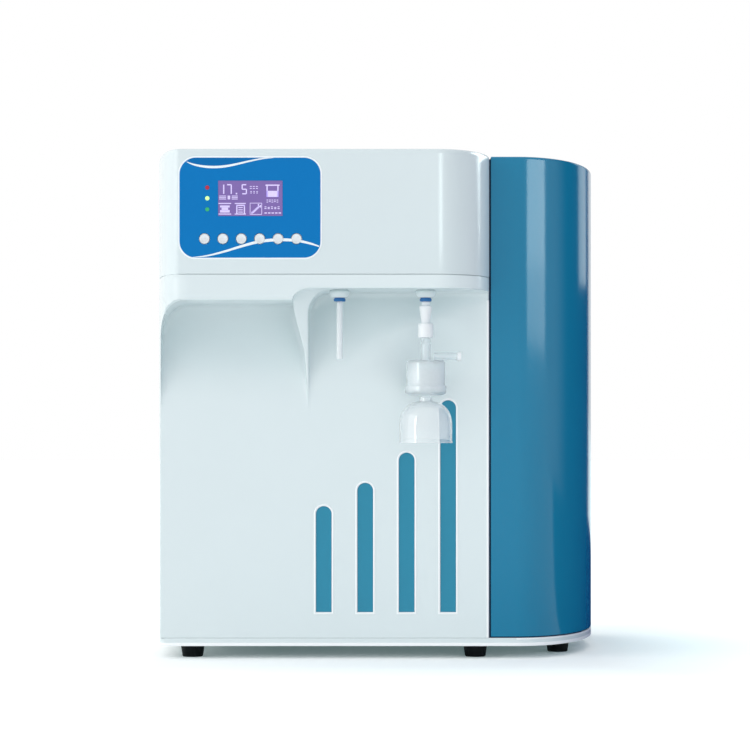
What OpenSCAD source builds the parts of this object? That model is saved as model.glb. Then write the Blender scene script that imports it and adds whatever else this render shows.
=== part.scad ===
// Bench-top ultrapure water system: a white overhanging housing, a blue hinged side door over the
// purification cartridges, and two outlets, one of them with a capsule filter and a bell guard.
// Millimetres. +Z is up, the front faces -Y, and the origin is under the middle of the unit.

/* [Cabinet] */
// Overall width
width = 462.6; // [384:0.1:565]
// Overall depth, from the key caps to the rear ports
depth = 400; // [333:1:480]
// Overall height, standing on its feet
height = 516; // [430:1:620]
// How far the head stands forward of the lower panel
head_reach = 62; // [52:1:75]
// Height of the head cover
head_h = 125.7; // [112:0.1:150]
// Wall of the moulded covers
wall = 3; // [2:0.1:3.6]
// Wall of the folded steel panels
sheet = 1.5; // [1:0.1:2]
// Width of the left corner curve
corner_w = 30.5; // [26:0.5:34]
// Depth of the left corner curve
corner_d = 150; // [130:1:165]
// Radius along the top edges
edge_r = 5; // [3:0.5:6]
// Open parting line between two covers
parting = 0.8; // [0.5:0.1:1.5]

/* [Base] */
// Height of the rubber feet
foot_h = 12.9; // [8:0.1:20]
// Diameter of a foot where it meets the base
foot_d = 25; // [20:1:30]
// Thickness of the base
base_t = 8.5; // [7:0.5:14]

/* [Niches] */
// Height of the right niche's ceiling below the head
niche_drop = 14; // [12:0.5:20]
// How much lower the left niche's ceiling is
niche_step = 12; // [8:0.5:16]
// Width of the left niche's round upper left corner
niche_corner_w = 27; // [18:1:32]
// Height of that corner
niche_corner_h = 35; // [24:1:40]
// Radius of the right niche's upper left corner
right_niche_r = 24; // [16:1:26]
// Height over which the rib and the left cheek sweep back to the lower panel
sweep_h = 145; // [120:1:150]
// How far the niches' backs lie behind the lower panel at the ceiling
niche_back = 25; // [20:1:30]
// Distance from the door seam to the rib's right side
rib_from_seam = 184.8; // [170:0.1:200]
// Width of the rib at the left niche's ceiling
rib_w = 15.1; // [12:0.1:18]
// Drop over which the rib narrows to half of that
rib_half = 35; // [28:1:42]
// Width of the arc over the rib, where the skirt's lower edge steps up
brow_w = 20; // [16:1:24]
// Width of the left cheek beside the left niche
cheek = 6.7; // [6.5:0.1:9]

/* [Slots] */
// Width of a slot
slot_w = 16; // [12:0.5:20]
// Distance between slots
slot_pitch = 42.5; // [36:0.5:50]
// Distance from the door seam to the nearest slot
slot_from_seam = 41.9; // [34:0.1:50]
// Height of the slots' lower ends above the base
slot_rise = 26.4; // [20:0.1:40]
// Depth below the head of each slot's round top, left to right
slot_drops = [234, 210.1, 179.1, 125.4];

/* [Side door] */
// Width of the door across the front
door_w = 118.2; // [100:0.1:141]
// Width of the door's side curve
door_curve_w = 91.6; // [78:0.1:100]
// Depth of the door's side curve
door_curve_d = 195; // [165:1:225]
// Wall of the door
door_wall = 2.5; // [2:0.1:3]
// Gap at the seam between door and housing
seam_gap = 1.5; // [1:0.1:2.5]
// Radius of the bead that turns on the hinge pins
bead_r = 4.8; // [4.2:0.1:5]
// Radius of the hinge pins
pin_r = 1.5; // [1.2:0.1:1.8]
// Radial running clearance of hinge pins and keys' stems
running = 0.08; // [0.05:0.01:0.1]

/* [Control panel] */
// Width of the overlay
overlay_w = 141; // [120:1:165]
// Height of the overlay
overlay_h = 100; // [96:1:104]
// Radius of the overlay's corners
overlay_r = 16.5; // [10:0.5:20]
// Thickness of the overlay
overlay_t = 0.4; // [0.3:0.1:0.6]
// Width of the display window
display_w = 64.5; // [54:0.5:77]
// Height of the display window
display_h = 35.5; // [30:0.5:42]
// Diameter of a key
key_d = 10.7; // [9:0.1:13]
// Distance between keys
key_pitch = 18.4; // [16:0.1:21]
// How far a key stands proud and travels
key_travel = 0.6; // [0.5:0.1:0.8]
// Diameter of a status lamp
lamp_d = 4; // [3:0.5:5]

/* [Outlets] */
// Distance between the two outlets
outlet_pitch = 87.1; // [80:0.1:104]
// Distance from the door seam to the filter's outlet
outlet_from_seam = 65.6; // [60:0.1:75]
// Distance of the outlets behind the head's front face
outlet_back = 30; // [27:0.5:34]
// Outer diameter of the water tubing
tube_d = 6.35; // [5.5:0.05:7.65]
// Bore of the water tubing
tube_bore = 4.3; // [3:0.1:4.5]
// Radial clearance of a tube in its fitting
tube_fit = 0.075; // [0.05:0.005:0.1]
// How much narrower, on the radius, a tube is turned where its fitting grips it
tube_squeeze = 0.35; // [0.3:0.01:0.4]
// Length of the left outlet tube below its collar
outlet_tube_l = 62; // [50:1:75]
// Diameter of the capsule filter's body
capsule_d = 39.3; // [33:0.1:44]
// Diameter of the bell guard at its mouth
bell_d = 54.4; // [46:0.1:60]
// Height of the bell guard
bell_h = 42.7; // [36:0.1:52]
// Wall of the bell guard
bell_wall = 1.6; // [0.8:0.1:2]
// Reach of the side vent from the filter's axis
vent_reach = 36; // [31:0.5:38]

/* [Works] */
// Diameter of a purification cartridge
cartridge_d = 64; // [54:0.1:77]
// Gap between the caps of neighbouring cartridges
cartridge_gap = 8; // [4:1:12]
// Room over the cartridges for their caps and linking tubes
bay_headroom = 150.6; // [110:0.1:160]
// Gap from the cartridge bay's partition to the cartridges
cartridge_off = 12; // [8:1:14]
// Diameter of the membrane housing
membrane_d = 78; // [65:1:90]
// Diameter of the ultraviolet lamp housing
uv_d = 42; // [35:1:50]
// Diameter of the booster pump's motor
motor_d = 62; // [52:1:74]

/* [Rear] */
// How far the water ports stand out of the rear panel
port_out = 15; // [13:0.5:18]
// Distance between water ports
port_pitch = 34; // [28:1:40]
// Height of the port and inlet centres above the base
service_z = 52; // [46:1:70]

/* [Hidden] */
$fn = 64;
eps = 0.01;
// Play between pieces of the same body that only rest in one another
play = 0.15;
// Gap between moving pieces
clear = 0.3;

left = -width / 2;
right = width / 2;
front_y = -depth / 2 + key_travel + overlay_t;
panel_y = front_y + head_reach;
rear_y = depth / 2 - port_out;
inner_rear_y = rear_y - sheet;
floor_z = foot_h + base_t;
head_z = height - head_h;
fascia_top = head_z - parting;
door_x = right - door_w;
seam_x = door_x - seam_gap;
fascia_back = front_y + corner_d;

// Right corner of the head: a wide curve that the seam cuts short
nose_w = 58;
nose_d = 84;
nose_x = seam_x - 0.953 * nose_w;

ceiling_z = head_z - niche_drop;
left_ceiling_z = ceiling_z - niche_step;
sweep_z = head_z - sweep_h;
rib_x = seam_x - rib_from_seam;

slot_low = floor_z + slot_rise;
slot_n = len(slot_drops);
function slot_x(i) = seam_x - slot_from_seam - (slot_n - 1 - i) * slot_pitch;
function slot_top(i) = head_z - slot_drops[i];

door_low = floor_z + parting;
door_top = height - 1.2;
hinge_x = right - 5;
hinge_y = inner_rear_y - 5.5;
bead_top = door_top - 16;
pin_grip = 12;
panel_right = hinge_x - 5;

overlay_x = left + corner_w;
overlay_z = height - 9.4 - overlay_h;
display_x = overlay_x + 38.6;
display_z = overlay_z + 41.6;
key_z = overlay_z + 18.9;
function key_x(i) = overlay_x + 25 + i * key_pitch;
key_n = 6;
lamp_x = overlay_x + 27.8;
lamp_z = [overlay_z + 48.3, overlay_z + 59.4, overlay_z + 70.1];
board_y = front_y + wall + 9;

outlet_y = front_y + outlet_back;
filter_x = seam_x - outlet_from_seam;
tube_x = filter_x - outlet_pitch;
collar_low = ceiling_z - 8.2;
collet_flange = 2.8;
collet_gap = 1;
collet_low = collar_low - collet_gap - collet_flange;
tube_r = tube_d / 2;
socket_r = tube_r + tube_fit;
collet_r = socket_r + 2.1;

adapter_top = collet_low - clear;
adapter_low = adapter_top - 21.5;
ring_low = adapter_low - 15;
capsule_top = ring_low - 22.6;
capsule_low = capsule_top - 35.9;
neck_low = capsule_low - 5.3;
vent_r = 4;
vent_z = capsule_top + vent_r - 0.2;
vent_lip = 0.7;
vent_bore = 1.6;
neck_r = 4.9;

partition_x = seam_x - wall;
cap_lip = 2;
cartridge_pitch = cartridge_d + 2 * cap_lip + cartridge_gap;
bay_x = partition_x + cartridge_off + cartridge_d / 2;
// Room behind the rearmost cartridge
cartridge_rear = 22;
function cartridge_y(i) = inner_rear_y - cartridge_rear - cap_lip - cartridge_d / 2 - i * cartridge_pitch;
cartridge_low = floor_z + 14;
cartridge_top = height - bay_headroom;
cap_h = 26;
// Distance of a cap's two tube sockets from its middle
cap_port = 16;
service_line = floor_z + service_z;
function port_x(i) = -80 + i * port_pitch;
port_n = 4;
port_r = 6.5;
inlet_x = left + 62;

// Distance of the left feet's centres from the left side
foot_in = 37;
foot_spots = [
    [left + foot_in, panel_y + 31], [seam_x - 13, panel_y + 31], [right - 43, panel_y + 91],
    [left + foot_in, inner_rear_y - 35], [seam_x - 13, inner_rear_y - 35], [right - 43, inner_rear_y - 35]
];

white = [0.86, 0.91, 0.92];
blue = [0.20, 0.50, 0.65];
deep_blue = [0.05, 0.46, 0.74];
clear_plastic = [0.88, 0.92, 0.93, 0.6];
steel = [0.72, 0.74, 0.76];

// ---- Outlines -------------------------------------------------------------------------------

// Points along an ellipse from angle a0 to a1
function ellipse(cx, cy, a, b, a0, a1, n) =
    [for (i = [0 : n]) let (t = a0 + (a1 - a0) * i / n) [cx + a * cos(t), cy + b * sin(t)]];

// Rectangle with round corners, centred
function round_rect(w, h, r, n = 8) = concat(
    ellipse(w / 2 - r, h / 2 - r, r, r, 0, 90, n), ellipse(r - w / 2, h / 2 - r, r, r, 90, 180, n),
    ellipse(r - w / 2, r - h / 2, r, r, 180, 270, n), ellipse(w / 2 - r, r - h / 2, r, r, 270, 360, n));

// Plan of the head, moved inwards by d; the left side and the back reach y1
function head_plan(d, y1) = concat(
    [[left + d, y1]],
    ellipse(left + corner_w, front_y + corner_d, corner_w - d, corner_d - d, 180, 270, 14),
    ellipse(nose_x, front_y + nose_d, nose_w - d, nose_d - d, 270,
            360 - acos((seam_x - d - nose_x) / (nose_w - d)), 12),
    [[seam_x - d, y1]]);

// Plan of the door's curve, moved inwards by d; x0 is its left end and y1 its back
function door_plan(d, x0, y1) = concat(
    [[x0, y1], [x0, panel_y + d]],
    ellipse(right - door_curve_w, panel_y + door_curve_d, door_curve_w - d, door_curve_d - d,
            270, 360, 18),
    [[right - d, y1]]);

// Closed solid through a list of rings, the lowest first
module loft(rings) {
    n = len(rings[0]);
    top = (len(rings) - 1) * n;
    polyhedron(
        points = [for (r = rings) each r],
        faces = concat(
            [[for (i = [0 : n - 1]) i]],
            [[for (i = [n - 1 : -1 : 0]) top + i]],
            [for (k = [0 : len(rings) - 2], i = [0 : n - 1])
                let (j = (i + 1) % n, a = k * n, b = a + n)
                    each [[a + i, b + i, b + j], [a + i, b + j, a + j]]]));
}

function at_z(outline, z) = [for (p = outline) [p.x, p.y, z]];

// Insets and heights of a quarter-round edge of radius r under height z
function edge_steps(r, z, n = 4) =
    [for (i = [0 : n]) let (t = 90 * i / n) [r * (1 - cos(t)), z - r + r * sin(t)]];

module plate(outline, z0, z1) {
    translate([0, 0, z0]) linear_extrude(z1 - z0) polygon(outline);
}

// Extrudes a Y-Z profile from x0 to x1
module along_x(profile, x0, x1) {
    translate([x0, 0, 0]) rotate([90, 0, 90]) linear_extrude(x1 - x0) polygon(profile);
}

// Extrudes an X-Z profile from y0 to y1
module along_y(profile, y0, y1) {
    translate([0, y1, 0]) rotate([90, 0, 0]) linear_extrude(y1 - y0) polygon(profile);
}

// Cylinder along +Y from y0 to y1
module rod_y(x, z, r, y0, y1, fn = 48) {
    translate([x, y0, z]) rotate([-90, 0, 0]) cylinder(r = r, h = y1 - y0, $fn = fn);
}

// Box from one corner to the opposite one
module block(a, b) {
    translate(a) cube(b - a);
}

// Bowed tube: two upright legs joined by a half turn, in the Y-Z plane
module bow(x, y0, y1, z0, z1, r) {
    rise = (y1 - y0) / 2;
    for (y = [y0, y1]) translate([x, y, z0]) cylinder(r = r, h = z1 - z0, $fn = 24);
    translate([x, y0 + rise, z1]) rotate([90, 0, 90])
        rotate_extrude(angle = 180, $fn = 48) translate([rise, 0]) circle(r, $fn = 24);
}

// ---- Base -----------------------------------------------------------------------------------

// The base's left side follows the head's corner up to this angle, then turns with a small corner
base_turn = 212;
base_corner = 7.5;
base_edge = 2.5;

function base_plan(d) = let (
        x = left + corner_w * (1 + cos(base_turn)),
        y = fascia_back + corner_d * sin(base_turn)) concat(
    [[left + d, inner_rear_y]],
    ellipse(left + corner_w, fascia_back, corner_w - d, corner_d - d, 180, base_turn, 6),
    ellipse(x + base_corner, y, base_corner - d, y - panel_y - d, 200, 270, 5),
    ellipse(right - door_curve_w, panel_y + door_curve_d, door_curve_w - d, door_curve_d - d,
            270, 360, 18),
    [[right - d, inner_rear_y]]);

module base_plate() {
    color(white) difference() {
        loft([at_z(base_plan(base_edge), foot_h), at_z(base_plan(base_edge * 0.3), foot_h + base_edge * 0.3),
              at_z(base_plan(0), foot_h + base_edge), at_z(base_plan(0), floor_z)]);
        translate([hinge_x, hinge_y, foot_h + 2]) cylinder(r = pin_r + running, h = base_t, $fn = 32);
        for (p = foot_spots) translate([p.x, p.y, foot_h - 1]) cylinder(r = 2.2, h = base_t + 2, $fn = 32);
        for (p = screw_spots) rod_y(p.x, p.y, 1.6, inner_rear_y - 8, inner_rear_y + 1, 24);
    }
}

module feet() {
    r = foot_d / 2;
    color([0.05, 0.06, 0.07]) for (p = foot_spots) translate([p.x, p.y, 0])
        rotate_extrude($fn = 48) polygon([
            [2.3, 5], [5, 5], [5, 0], [r - 2.6, 0], [r - 1.8, 0.8], [r, foot_h], [2.3, foot_h]]);
}

module foot_screws() {
    color(steel) for (p = foot_spots) translate([p.x, p.y, 0]) {
        translate([0, 0, 2.4]) cylinder(r = 4, h = 2.6, $fn = 32);
        translate([0, 0, 4]) cylinder(r = 2, h = floor_z - 4 - 1, $fn = 32);
    }
}

// ---- Housing --------------------------------------------------------------------------------

module head_shell(d, z0, z1, r, y1) {
    steps = edge_steps(r, z1);
    loft(concat([at_z(head_plan(d, y1), z0)], [for (s = steps) at_z(head_plan(d + s[0], y1), s[1])]));
}

module head_cover() {
    color(white) difference() {
        head_shell(0, head_z, height, edge_r, inner_rear_y);
        head_shell(wall, head_z - 1, height - wall, edge_r - 1.5, inner_rear_y + 1);
        translate([display_x - 1, front_y - 1, display_z - 1])
            cube([display_w + 2, wall + 2, display_h + 2]);
        for (i = [0 : key_n - 1]) rod_y(key_x(i), key_z, key_d / 2 + clear, front_y - 1, front_y + wall + 1);
        for (z = lamp_z) rod_y(lamp_x, z, lamp_d / 2 + play, front_y - 1, front_y + wall + 1);
    }
    color(white) for (x = [overlay_x + 8, overlay_x + overlay_w - 8])
        for (z = [overlay_z + 10, overlay_z + overlay_h - 10])
            rod_y(x, z, 3, front_y + wall - eps, board_y, 24);
}

// Profile of the sweep below the skirt: full depth down to top, then back to the lower panel
function sweep_profile(d, top, z0, z1, y1) = concat(
    [[panel_y + d, z0]],
    [for (p = ellipse(front_y, sweep_z, head_reach + d, top - sweep_z + d, 0, 90, 18))
        [max(p.x, front_y + d), p.y]],
    [[front_y + d, z1], [y1, z1], [y1, z0]]);

// Front of the fascia, moved inwards by d. Left of the rib the sweep starts at the left niche's
// ceiling, right of it at the right one's, and an arc joins the two levels.
module swept_front(d, z0, z1, y1) {
    step_x = rib_x - rib_w - d;
    along_x(sweep_profile(d, left_ceiling_z, z0, z1, y1), left - 1, step_x);
    along_x(sweep_profile(d, ceiling_z, z0, z1, y1), step_x - eps, seam_x + 1);
    along_y(concat(
        ellipse(step_x + d + brow_w, left_ceiling_z, brow_w + d, niche_step + d, 180, 90, 10),
        [[step_x + d + brow_w, z1], [step_x - eps, z1], [step_x - eps, left_ceiling_z]]), front_y + d, y1);
}

// Left edge of the rib at height z
function rib_edge(z) = rib_x - rib_w / (1 + pow(max(0, left_ceiling_z - z) / rib_half, 2.4));

// A niche's back leans away over this height, and ends in a cove of this radius
lean_h = 106;
cove_r = 12;
// The niches' cuts start this far below the sweep, where their backs lie flush with the panel
niche_foot = 30;

// Depth of a niche: flush with the lower panel below, deeper towards the ceiling
function niche_depth(d, top) = let (low = top - lean_h, rise = lean_h - cove_r) concat(
    [[front_y - 40, low - 60], [panel_y + d, low - 60]],
    [for (i = [0 : 8]) let (s = i / 8) [panel_y + d + niche_back * (1 - cos(180 * s)) / 2, low + s * rise]],
    ellipse(panel_y + niche_back - cove_r, top - cove_r, cove_r + d, cove_r + d, 15, 90, 5),
    [[front_y - 40, top + d]]);

module niche(outline, d, top, x0, x1) {
    intersection() {
        along_y(outline, front_y - 20, panel_y + niche_back + 10);
        along_x(niche_depth(d, top), x0, x1);
    }
}

module left_niche(d) {
    x0 = left + cheek - d;
    low = sweep_z - niche_foot;
    top = left_ceiling_z + d;
    rx = niche_corner_w + d;
    rz = niche_corner_h + d;
    niche(concat(
        [[x0, low]],
        [for (i = [0 : 14]) let (z = low + (left_ceiling_z - low) * i / 14) [rib_edge(z) + d, z]],
        [[rib_x - rib_w + d, top]],
        ellipse(x0 + rx, top - rz, rx, rz, 90, 180, 10)), d, left_ceiling_z, x0 - 1, rib_x + d + 1);
}

// Towards the seam the right niche's back comes forward again over this width
fade_w = 85;

module right_niche(d) {
    x0 = rib_x - d;
    x1 = seam_x - fade_w;
    low = sweep_z - niche_foot;
    top = ceiling_z + d;
    r = right_niche_r + d;
    intersection() {
        niche(concat(
            [[x0, low], [seam_x + 5, low], [seam_x + 5, top]],
            ellipse(x0 + r, top - r, r, r, 90, 180, 8)), d, ceiling_z, x0 - 1, seam_x + 5);
        plate(concat(
            [[x0 - 1, front_y - 20], [x0 - 1, panel_y + niche_back + 10], [x1, panel_y + niche_back + 10]],
            [for (i = [0 : 10]) [x1 + fade_w * i / 10, panel_y + d + niche_back * (1 + cos(18 * i)) / 2]],
            [[seam_x + 6, panel_y + d], [seam_x + 6, front_y - 20]]), low - 1, top + 1);
    }
}

module slot_cut(i, grow, y0, y1) {
    w = slot_w + 2 * grow;
    translate([slot_x(i) - w / 2, y0, slot_low - grow])
        cube([w, y1 - y0, slot_top(i) - slot_low - slot_w / 2 + grow]);
    rod_y(slot_x(i), slot_top(i) - slot_w / 2, w / 2, y0, y1);
}

module front_fascia() {
    color(white) difference() {
        intersection() {
            plate(head_plan(0, fascia_back), floor_z, fascia_top);
            swept_front(0, floor_z, fascia_top, fascia_back);
        }
        difference() {
            intersection() {
                plate(head_plan(wall, fascia_back + 1), floor_z - 1, fascia_top + 1);
                swept_front(wall, floor_z - 1, fascia_top + 1, fascia_back + 1);
            }
            left_niche(wall);
            right_niche(wall);
        }
        left_niche(0);
        right_niche(0);
        for (i = [0 : slot_n - 1]) slot_cut(i, 0, panel_y - 1, panel_y + wall + 2);
        for (x = [tube_x, filter_x]) translate([x, outlet_y, ceiling_z - 1])
            cylinder(r = shank_r + play, h = wall + 3, $fn = 48);
    }
}

module slot_insert() {
    back = panel_y + wall + play;
    color(blue) {
        for (i = [0 : slot_n - 1]) slot_cut(i, -play, panel_y + 0.8, back + 1);
        translate([slot_x(0) - slot_w, back, slot_low - 8])
            cube([slot_x(slot_n - 1) - slot_x(0) + 2 * slot_w, 2, slot_top(0) - slot_low + 6]);
        for (i = [1 : slot_n - 1]) translate([slot_x(i) - slot_w, back, slot_low])
            cube([2 * slot_w, 2, slot_top(i) - slot_low - 2]);
    }
}

module left_panel() {
    color(white) block([left, fascia_back, floor_z], [left + sheet, inner_rear_y, fascia_top]);
    color(white) block([left + sheet - eps, inner_rear_y - 12, floor_z],
                       [left + sheet + 10, inner_rear_y - 12 + sheet, fascia_top]);
}

module vent_rows(x0, z0, cols, rows) {
    for (i = [0 : cols - 1], j = [0 : rows - 1])
        translate([x0 + i * 32, inner_rear_y - 1, z0 + j * 12]) cube([24, sheet + 2, 4]);
}

module rear_panel() {
    color(white) difference() {
        union() {
            block([left, inner_rear_y, foot_h], [panel_right, rear_y, door_top]);
            block([door_x, hinge_y + 0.6, door_top - sheet], [panel_right, inner_rear_y + eps, door_top]);
        }
        for (i = [0 : port_n - 1])
            rod_y(port_x(i), service_line, port_r + play, inner_rear_y - 1, rear_y + 1);
        translate([inlet_x - 14, inner_rear_y - 1, service_line - 24]) cube([28, sheet + 2, 48]);
        vent_rows(left + 50, head_z - 70, 5, 8);
        vent_rows(seam_x - 70, head_z + 20, 2, 5);
        for (p = screw_spots) rod_y(p.x, p.y, 1.6, inner_rear_y - 1, rear_y + 1, 24);
    }
}

screw_spots = [
    [left + 10, floor_z + 30], [left + 10, head_z - 30], [left + 10, height - 20],
    [seam_x - 10, height - 20], [panel_right - 12, height - 60], [panel_right - 12, floor_z + 30],
    [0, floor_z - 4], [seam_x + 20, floor_z - 4]
];

module panel_screws() {
    color(steel) for (p = screw_spots) {
        rod_y(p.x, p.y, 2.8, rear_y, rear_y + 1.8, 32);
        rod_y(p.x, p.y, 1.5, inner_rear_y - 6, rear_y + eps, 24);
    }
}

module partition_panel() {
    color(steel) block([partition_x - sheet, fascia_back, floor_z],
                       [partition_x, inner_rear_y, height - wall - edge_r]);
}

// ---- Control panel --------------------------------------------------------------------------

module control_overlay() {
    color(deep_blue) difference() {
        translate([overlay_x + overlay_w / 2, 0, overlay_z + overlay_h / 2])
            along_y(round_rect(overlay_w, overlay_h, overlay_r), front_y - overlay_t, front_y);
        translate([display_x, front_y - 2, display_z]) cube([display_w, 4, display_h]);
        for (i = [0 : key_n - 1]) rod_y(key_x(i), key_z, key_d / 2 + clear, front_y - 2, front_y + 1);
        for (z = lamp_z) rod_y(lamp_x, z, lamp_d / 2 + play, front_y - 2, front_y + 1);
    }
}

module lcd_window() {
    color([0.55, 0.47, 0.70]) translate([display_x + play, front_y - overlay_t, display_z + play])
        cube([display_w - 2 * play, overlay_t + wall, display_h - 2 * play]);
}

// Frame of the display module beyond its window, at either side
module_edge = 7.5;

module lcd_module() {
    back = front_y + wall;
    color([0.15, 0.35, 0.25]) difference() {
        translate([display_x - module_edge, back, display_z - 12])
            cube([display_w + 2 * module_edge, 7, display_h + 26]);
        translate([display_x - 1, back - 1, display_z - 1]) cube([display_w + 2, 3, display_h + 2]);
    }
    color([0.55, 0.47, 0.70]) translate([display_x, back, display_z]) cube([display_w, 2.5, display_h]);
}

module lamp(z, tint) {
    color(tint) {
        rod_y(lamp_x, z, lamp_d / 2, front_y - overlay_t - 0.3, front_y + wall + 1, 32);
        rod_y(lamp_x, z, lamp_d / 2 + 0.7, front_y + wall, board_y, 32);
    }
}

module led_red() { lamp(lamp_z[2], [0.85, 0.12, 0.15]); }
module led_yellow() { lamp(lamp_z[1], [0.80, 0.95, 0.30]); }
module led_green() { lamp(lamp_z[0], [0.15, 0.70, 0.45]); }

module control_board() {
    gap = key_travel + 2 * clear;
    color([0.10, 0.35, 0.22]) difference() {
        translate([overlay_x + 2, board_y, overlay_z + 4]) cube([overlay_w - 4, 1.6, overlay_h - 8]);
        translate([display_x - 20, board_y - 1, display_z - 14]) cube([display_w + 40, 4, display_h + 30]);
    }
    color([0.12, 0.12, 0.13]) for (i = [0 : key_n - 1])
        block([key_x(i) - 3, front_y + wall + 4 + gap, key_z - 3], [key_x(i) + 3, board_y + eps, key_z + 3]);
}

module key(i) {
    color([0.78, 0.80, 0.82]) {
        rod_y(key_x(i), key_z, key_d / 2, -depth / 2, front_y + wall);
        rod_y(key_x(i), key_z, key_d / 2 + 1.2, front_y + wall + clear, front_y + wall + 2);
        rod_y(key_x(i), key_z, 2.2, front_y + wall - eps, front_y + wall + 4 + clear, 24);
    }
}

module key_1() { key(0); }
module key_2() { key(1); }
module key_3() { key(2); }
module key_4() { key(3); }
module key_5() { key(4); }
module key_6() { key(5); }

// ---- Side door ------------------------------------------------------------------------------

catch_z = [floor_z + 60, height - 70];
flange_back = panel_y + 12;

module door_shell(d, z0, z1, r, x0, y1) {
    steps = edge_steps(r, z1);
    loft(concat([at_z(door_plan(d, x0, y1), z0)], [for (s = steps) at_z(door_plan(d + s[0], x0, y1), s[1])]));
}

module side_door() {
    color(blue) difference() {
        union() {
            difference() {
                door_shell(0, door_low, door_top, edge_r - 2, door_x, hinge_y);
                door_shell(door_wall, door_low - 1, door_top - door_wall, edge_r - 3,
                           door_x - 1, hinge_y + 1);
            }
            block([door_x, panel_y + 1, door_low], [door_x + door_wall, flange_back, door_top - 1]);
            for (z = catch_z)
                block([door_x + 1, flange_back - 1.5, z - 14], [door_x + 18, flange_back, z + 14]);
            translate([hinge_x, hinge_y, door_low]) cylinder(r = bead_r, h = bead_top - door_low, $fn = 48);
        }
        for (z = [door_low - 1, bead_top - pin_grip])
            translate([hinge_x, hinge_y, z]) cylinder(r = pin_r + running, h = pin_grip + 1, $fn = 32);
    }
}

module hinge_bracket() {
    z0 = bead_top + clear;
    color(steel) {
        difference() {
            union() {
                block([panel_right - 50, hinge_y - 18, z0], [panel_right, inner_rear_y, z0 + 3]);
                block([panel_right - 1, hinge_y - 2.2, z0], [hinge_x, hinge_y + 2.2, z0 + 3]);
                translate([hinge_x, hinge_y, z0]) cylinder(r = 2.2 + 0.001, h = 3, $fn = 32);
            }
            translate([hinge_x, hinge_y, z0 - 1]) cylinder(r = pin_r, h = 5, $fn = 32);
        }
        block([panel_right - 50, inner_rear_y - sheet, z0 - 25], [panel_right, inner_rear_y, z0 + eps]);
    }
}

module hinge_pins() {
    color(steel) translate([hinge_x, hinge_y, 0]) {
        translate([0, 0, foot_h + 2]) cylinder(r = pin_r, h = door_low + pin_grip - foot_h - 4, $fn = 32);
        translate([0, 0, bead_top - pin_grip + 2]) cylinder(r = pin_r, h = pin_grip + clear + 1.8, $fn = 32);
    }
}

module door_strikes() {
    color(steel) for (z = catch_z)
        block([door_x + 4, flange_back, z - 11], [door_x + 17, flange_back + 1, z + 11]);
}

module door_magnets() {
    color([0.15, 0.15, 0.16]) for (z = catch_z)
        block([seam_x, flange_back + 1 + clear, z - 13], [door_x + 18, flange_back + 13, z + 13]);
}

// ---- Outlets --------------------------------------------------------------------------------

module at_outlet(x) {
    translate([x, outlet_y, 0]) rotate_extrude($fn = 72) children();
}

// Radius of a collar at its widest, and of the threaded shank above it
collar_r = 10.5;
shank_r = 7;

module collar(x) {
    at_outlet(x) polygon(concat(
        [[socket_r, collar_low + 7], [collet_r + 0.1, collar_low + 7], [collet_r + 0.1, collar_low]],
        ellipse(collet_r + 1.3, collar_low + 4.8, collar_r - collet_r - 1.3, 4.8, 280, 360, 8),
        ellipse(shank_r, ceiling_z - 3.4, collar_r - shank_r, 3.4, 10, 90, 6),
        [[shank_r, ceiling_z + wall + 7], [socket_r, ceiling_z + wall + 7]]));
}

module nozzle_collars() {
    color(white) for (x = [tube_x, filter_x]) collar(x);
}

module nozzle_nuts() {
    color([0.8, 0.82, 0.83]) for (x = [tube_x, filter_x]) translate([x, outlet_y, ceiling_z + wall])
        difference() {
            cylinder(r = 11, h = 5, $fn = 6);
            translate([0, 0, -1]) cylinder(r = shank_r + running, h = 7, $fn = 48);
        }
}

module collet(x) {
    color([0.10, 0.42, 0.70]) at_outlet(x) polygon([
        [socket_r, collet_low], [collet_r + 0.1, collet_low], [collet_r + 0.7, collet_low + 0.7],
        [collet_r + 0.7, collet_low + collet_flange], [collet_r, collet_low + collet_flange],
        [collet_r, collar_low + 5.5], [socket_r, collar_low + 5.5]]);
}

module collet_left() { collet(tube_x); }
module collet_right() { collet(filter_x); }

module outlet_tube() {
    low = collar_low - outlet_tube_l;
    color(clear_plastic) at_outlet(tube_x) polygon([
        [tube_bore / 2, low], [tube_r - 0.3, low], [tube_r, low + 0.8], [tube_r, collet_low - clear],
        [tube_r - tube_squeeze, collet_low], [tube_r - tube_squeeze, ceiling_z + 5],
        [tube_bore / 2, ceiling_z + 5]]);
}

module filter_adapter() {
    color(white) at_outlet(filter_x) polygon([
        [1.5, ring_low + 4], [4.2, ring_low + 4], [4.2, adapter_low - 2], [4.5, adapter_low],
        [4.6, adapter_low + 2], [5.5, adapter_low + 8], [6.6, adapter_top - 5.4], [6.6, adapter_top - 4.8],
        [4.6, adapter_top - 3.4], [4.1, adapter_top - 3.2], [4.1, adapter_top], [tube_r, adapter_top],
        [tube_r, ceiling_z + 5], [1.5, ceiling_z + 5]]);
}

module filter_ring() {
    color(white) at_outlet(filter_x) polygon([
        [4.2, ring_low + 4.3], [4.85, ring_low + 0.3], [7.3, ring_low + 0.3], [7.7, ring_low + 0.8],
        [7.7, adapter_low - 1.2], [7.1, adapter_low - 0.5], [4.7, adapter_low - 0.5],
        [4.2, adapter_low - 2.2]]);
}

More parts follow.
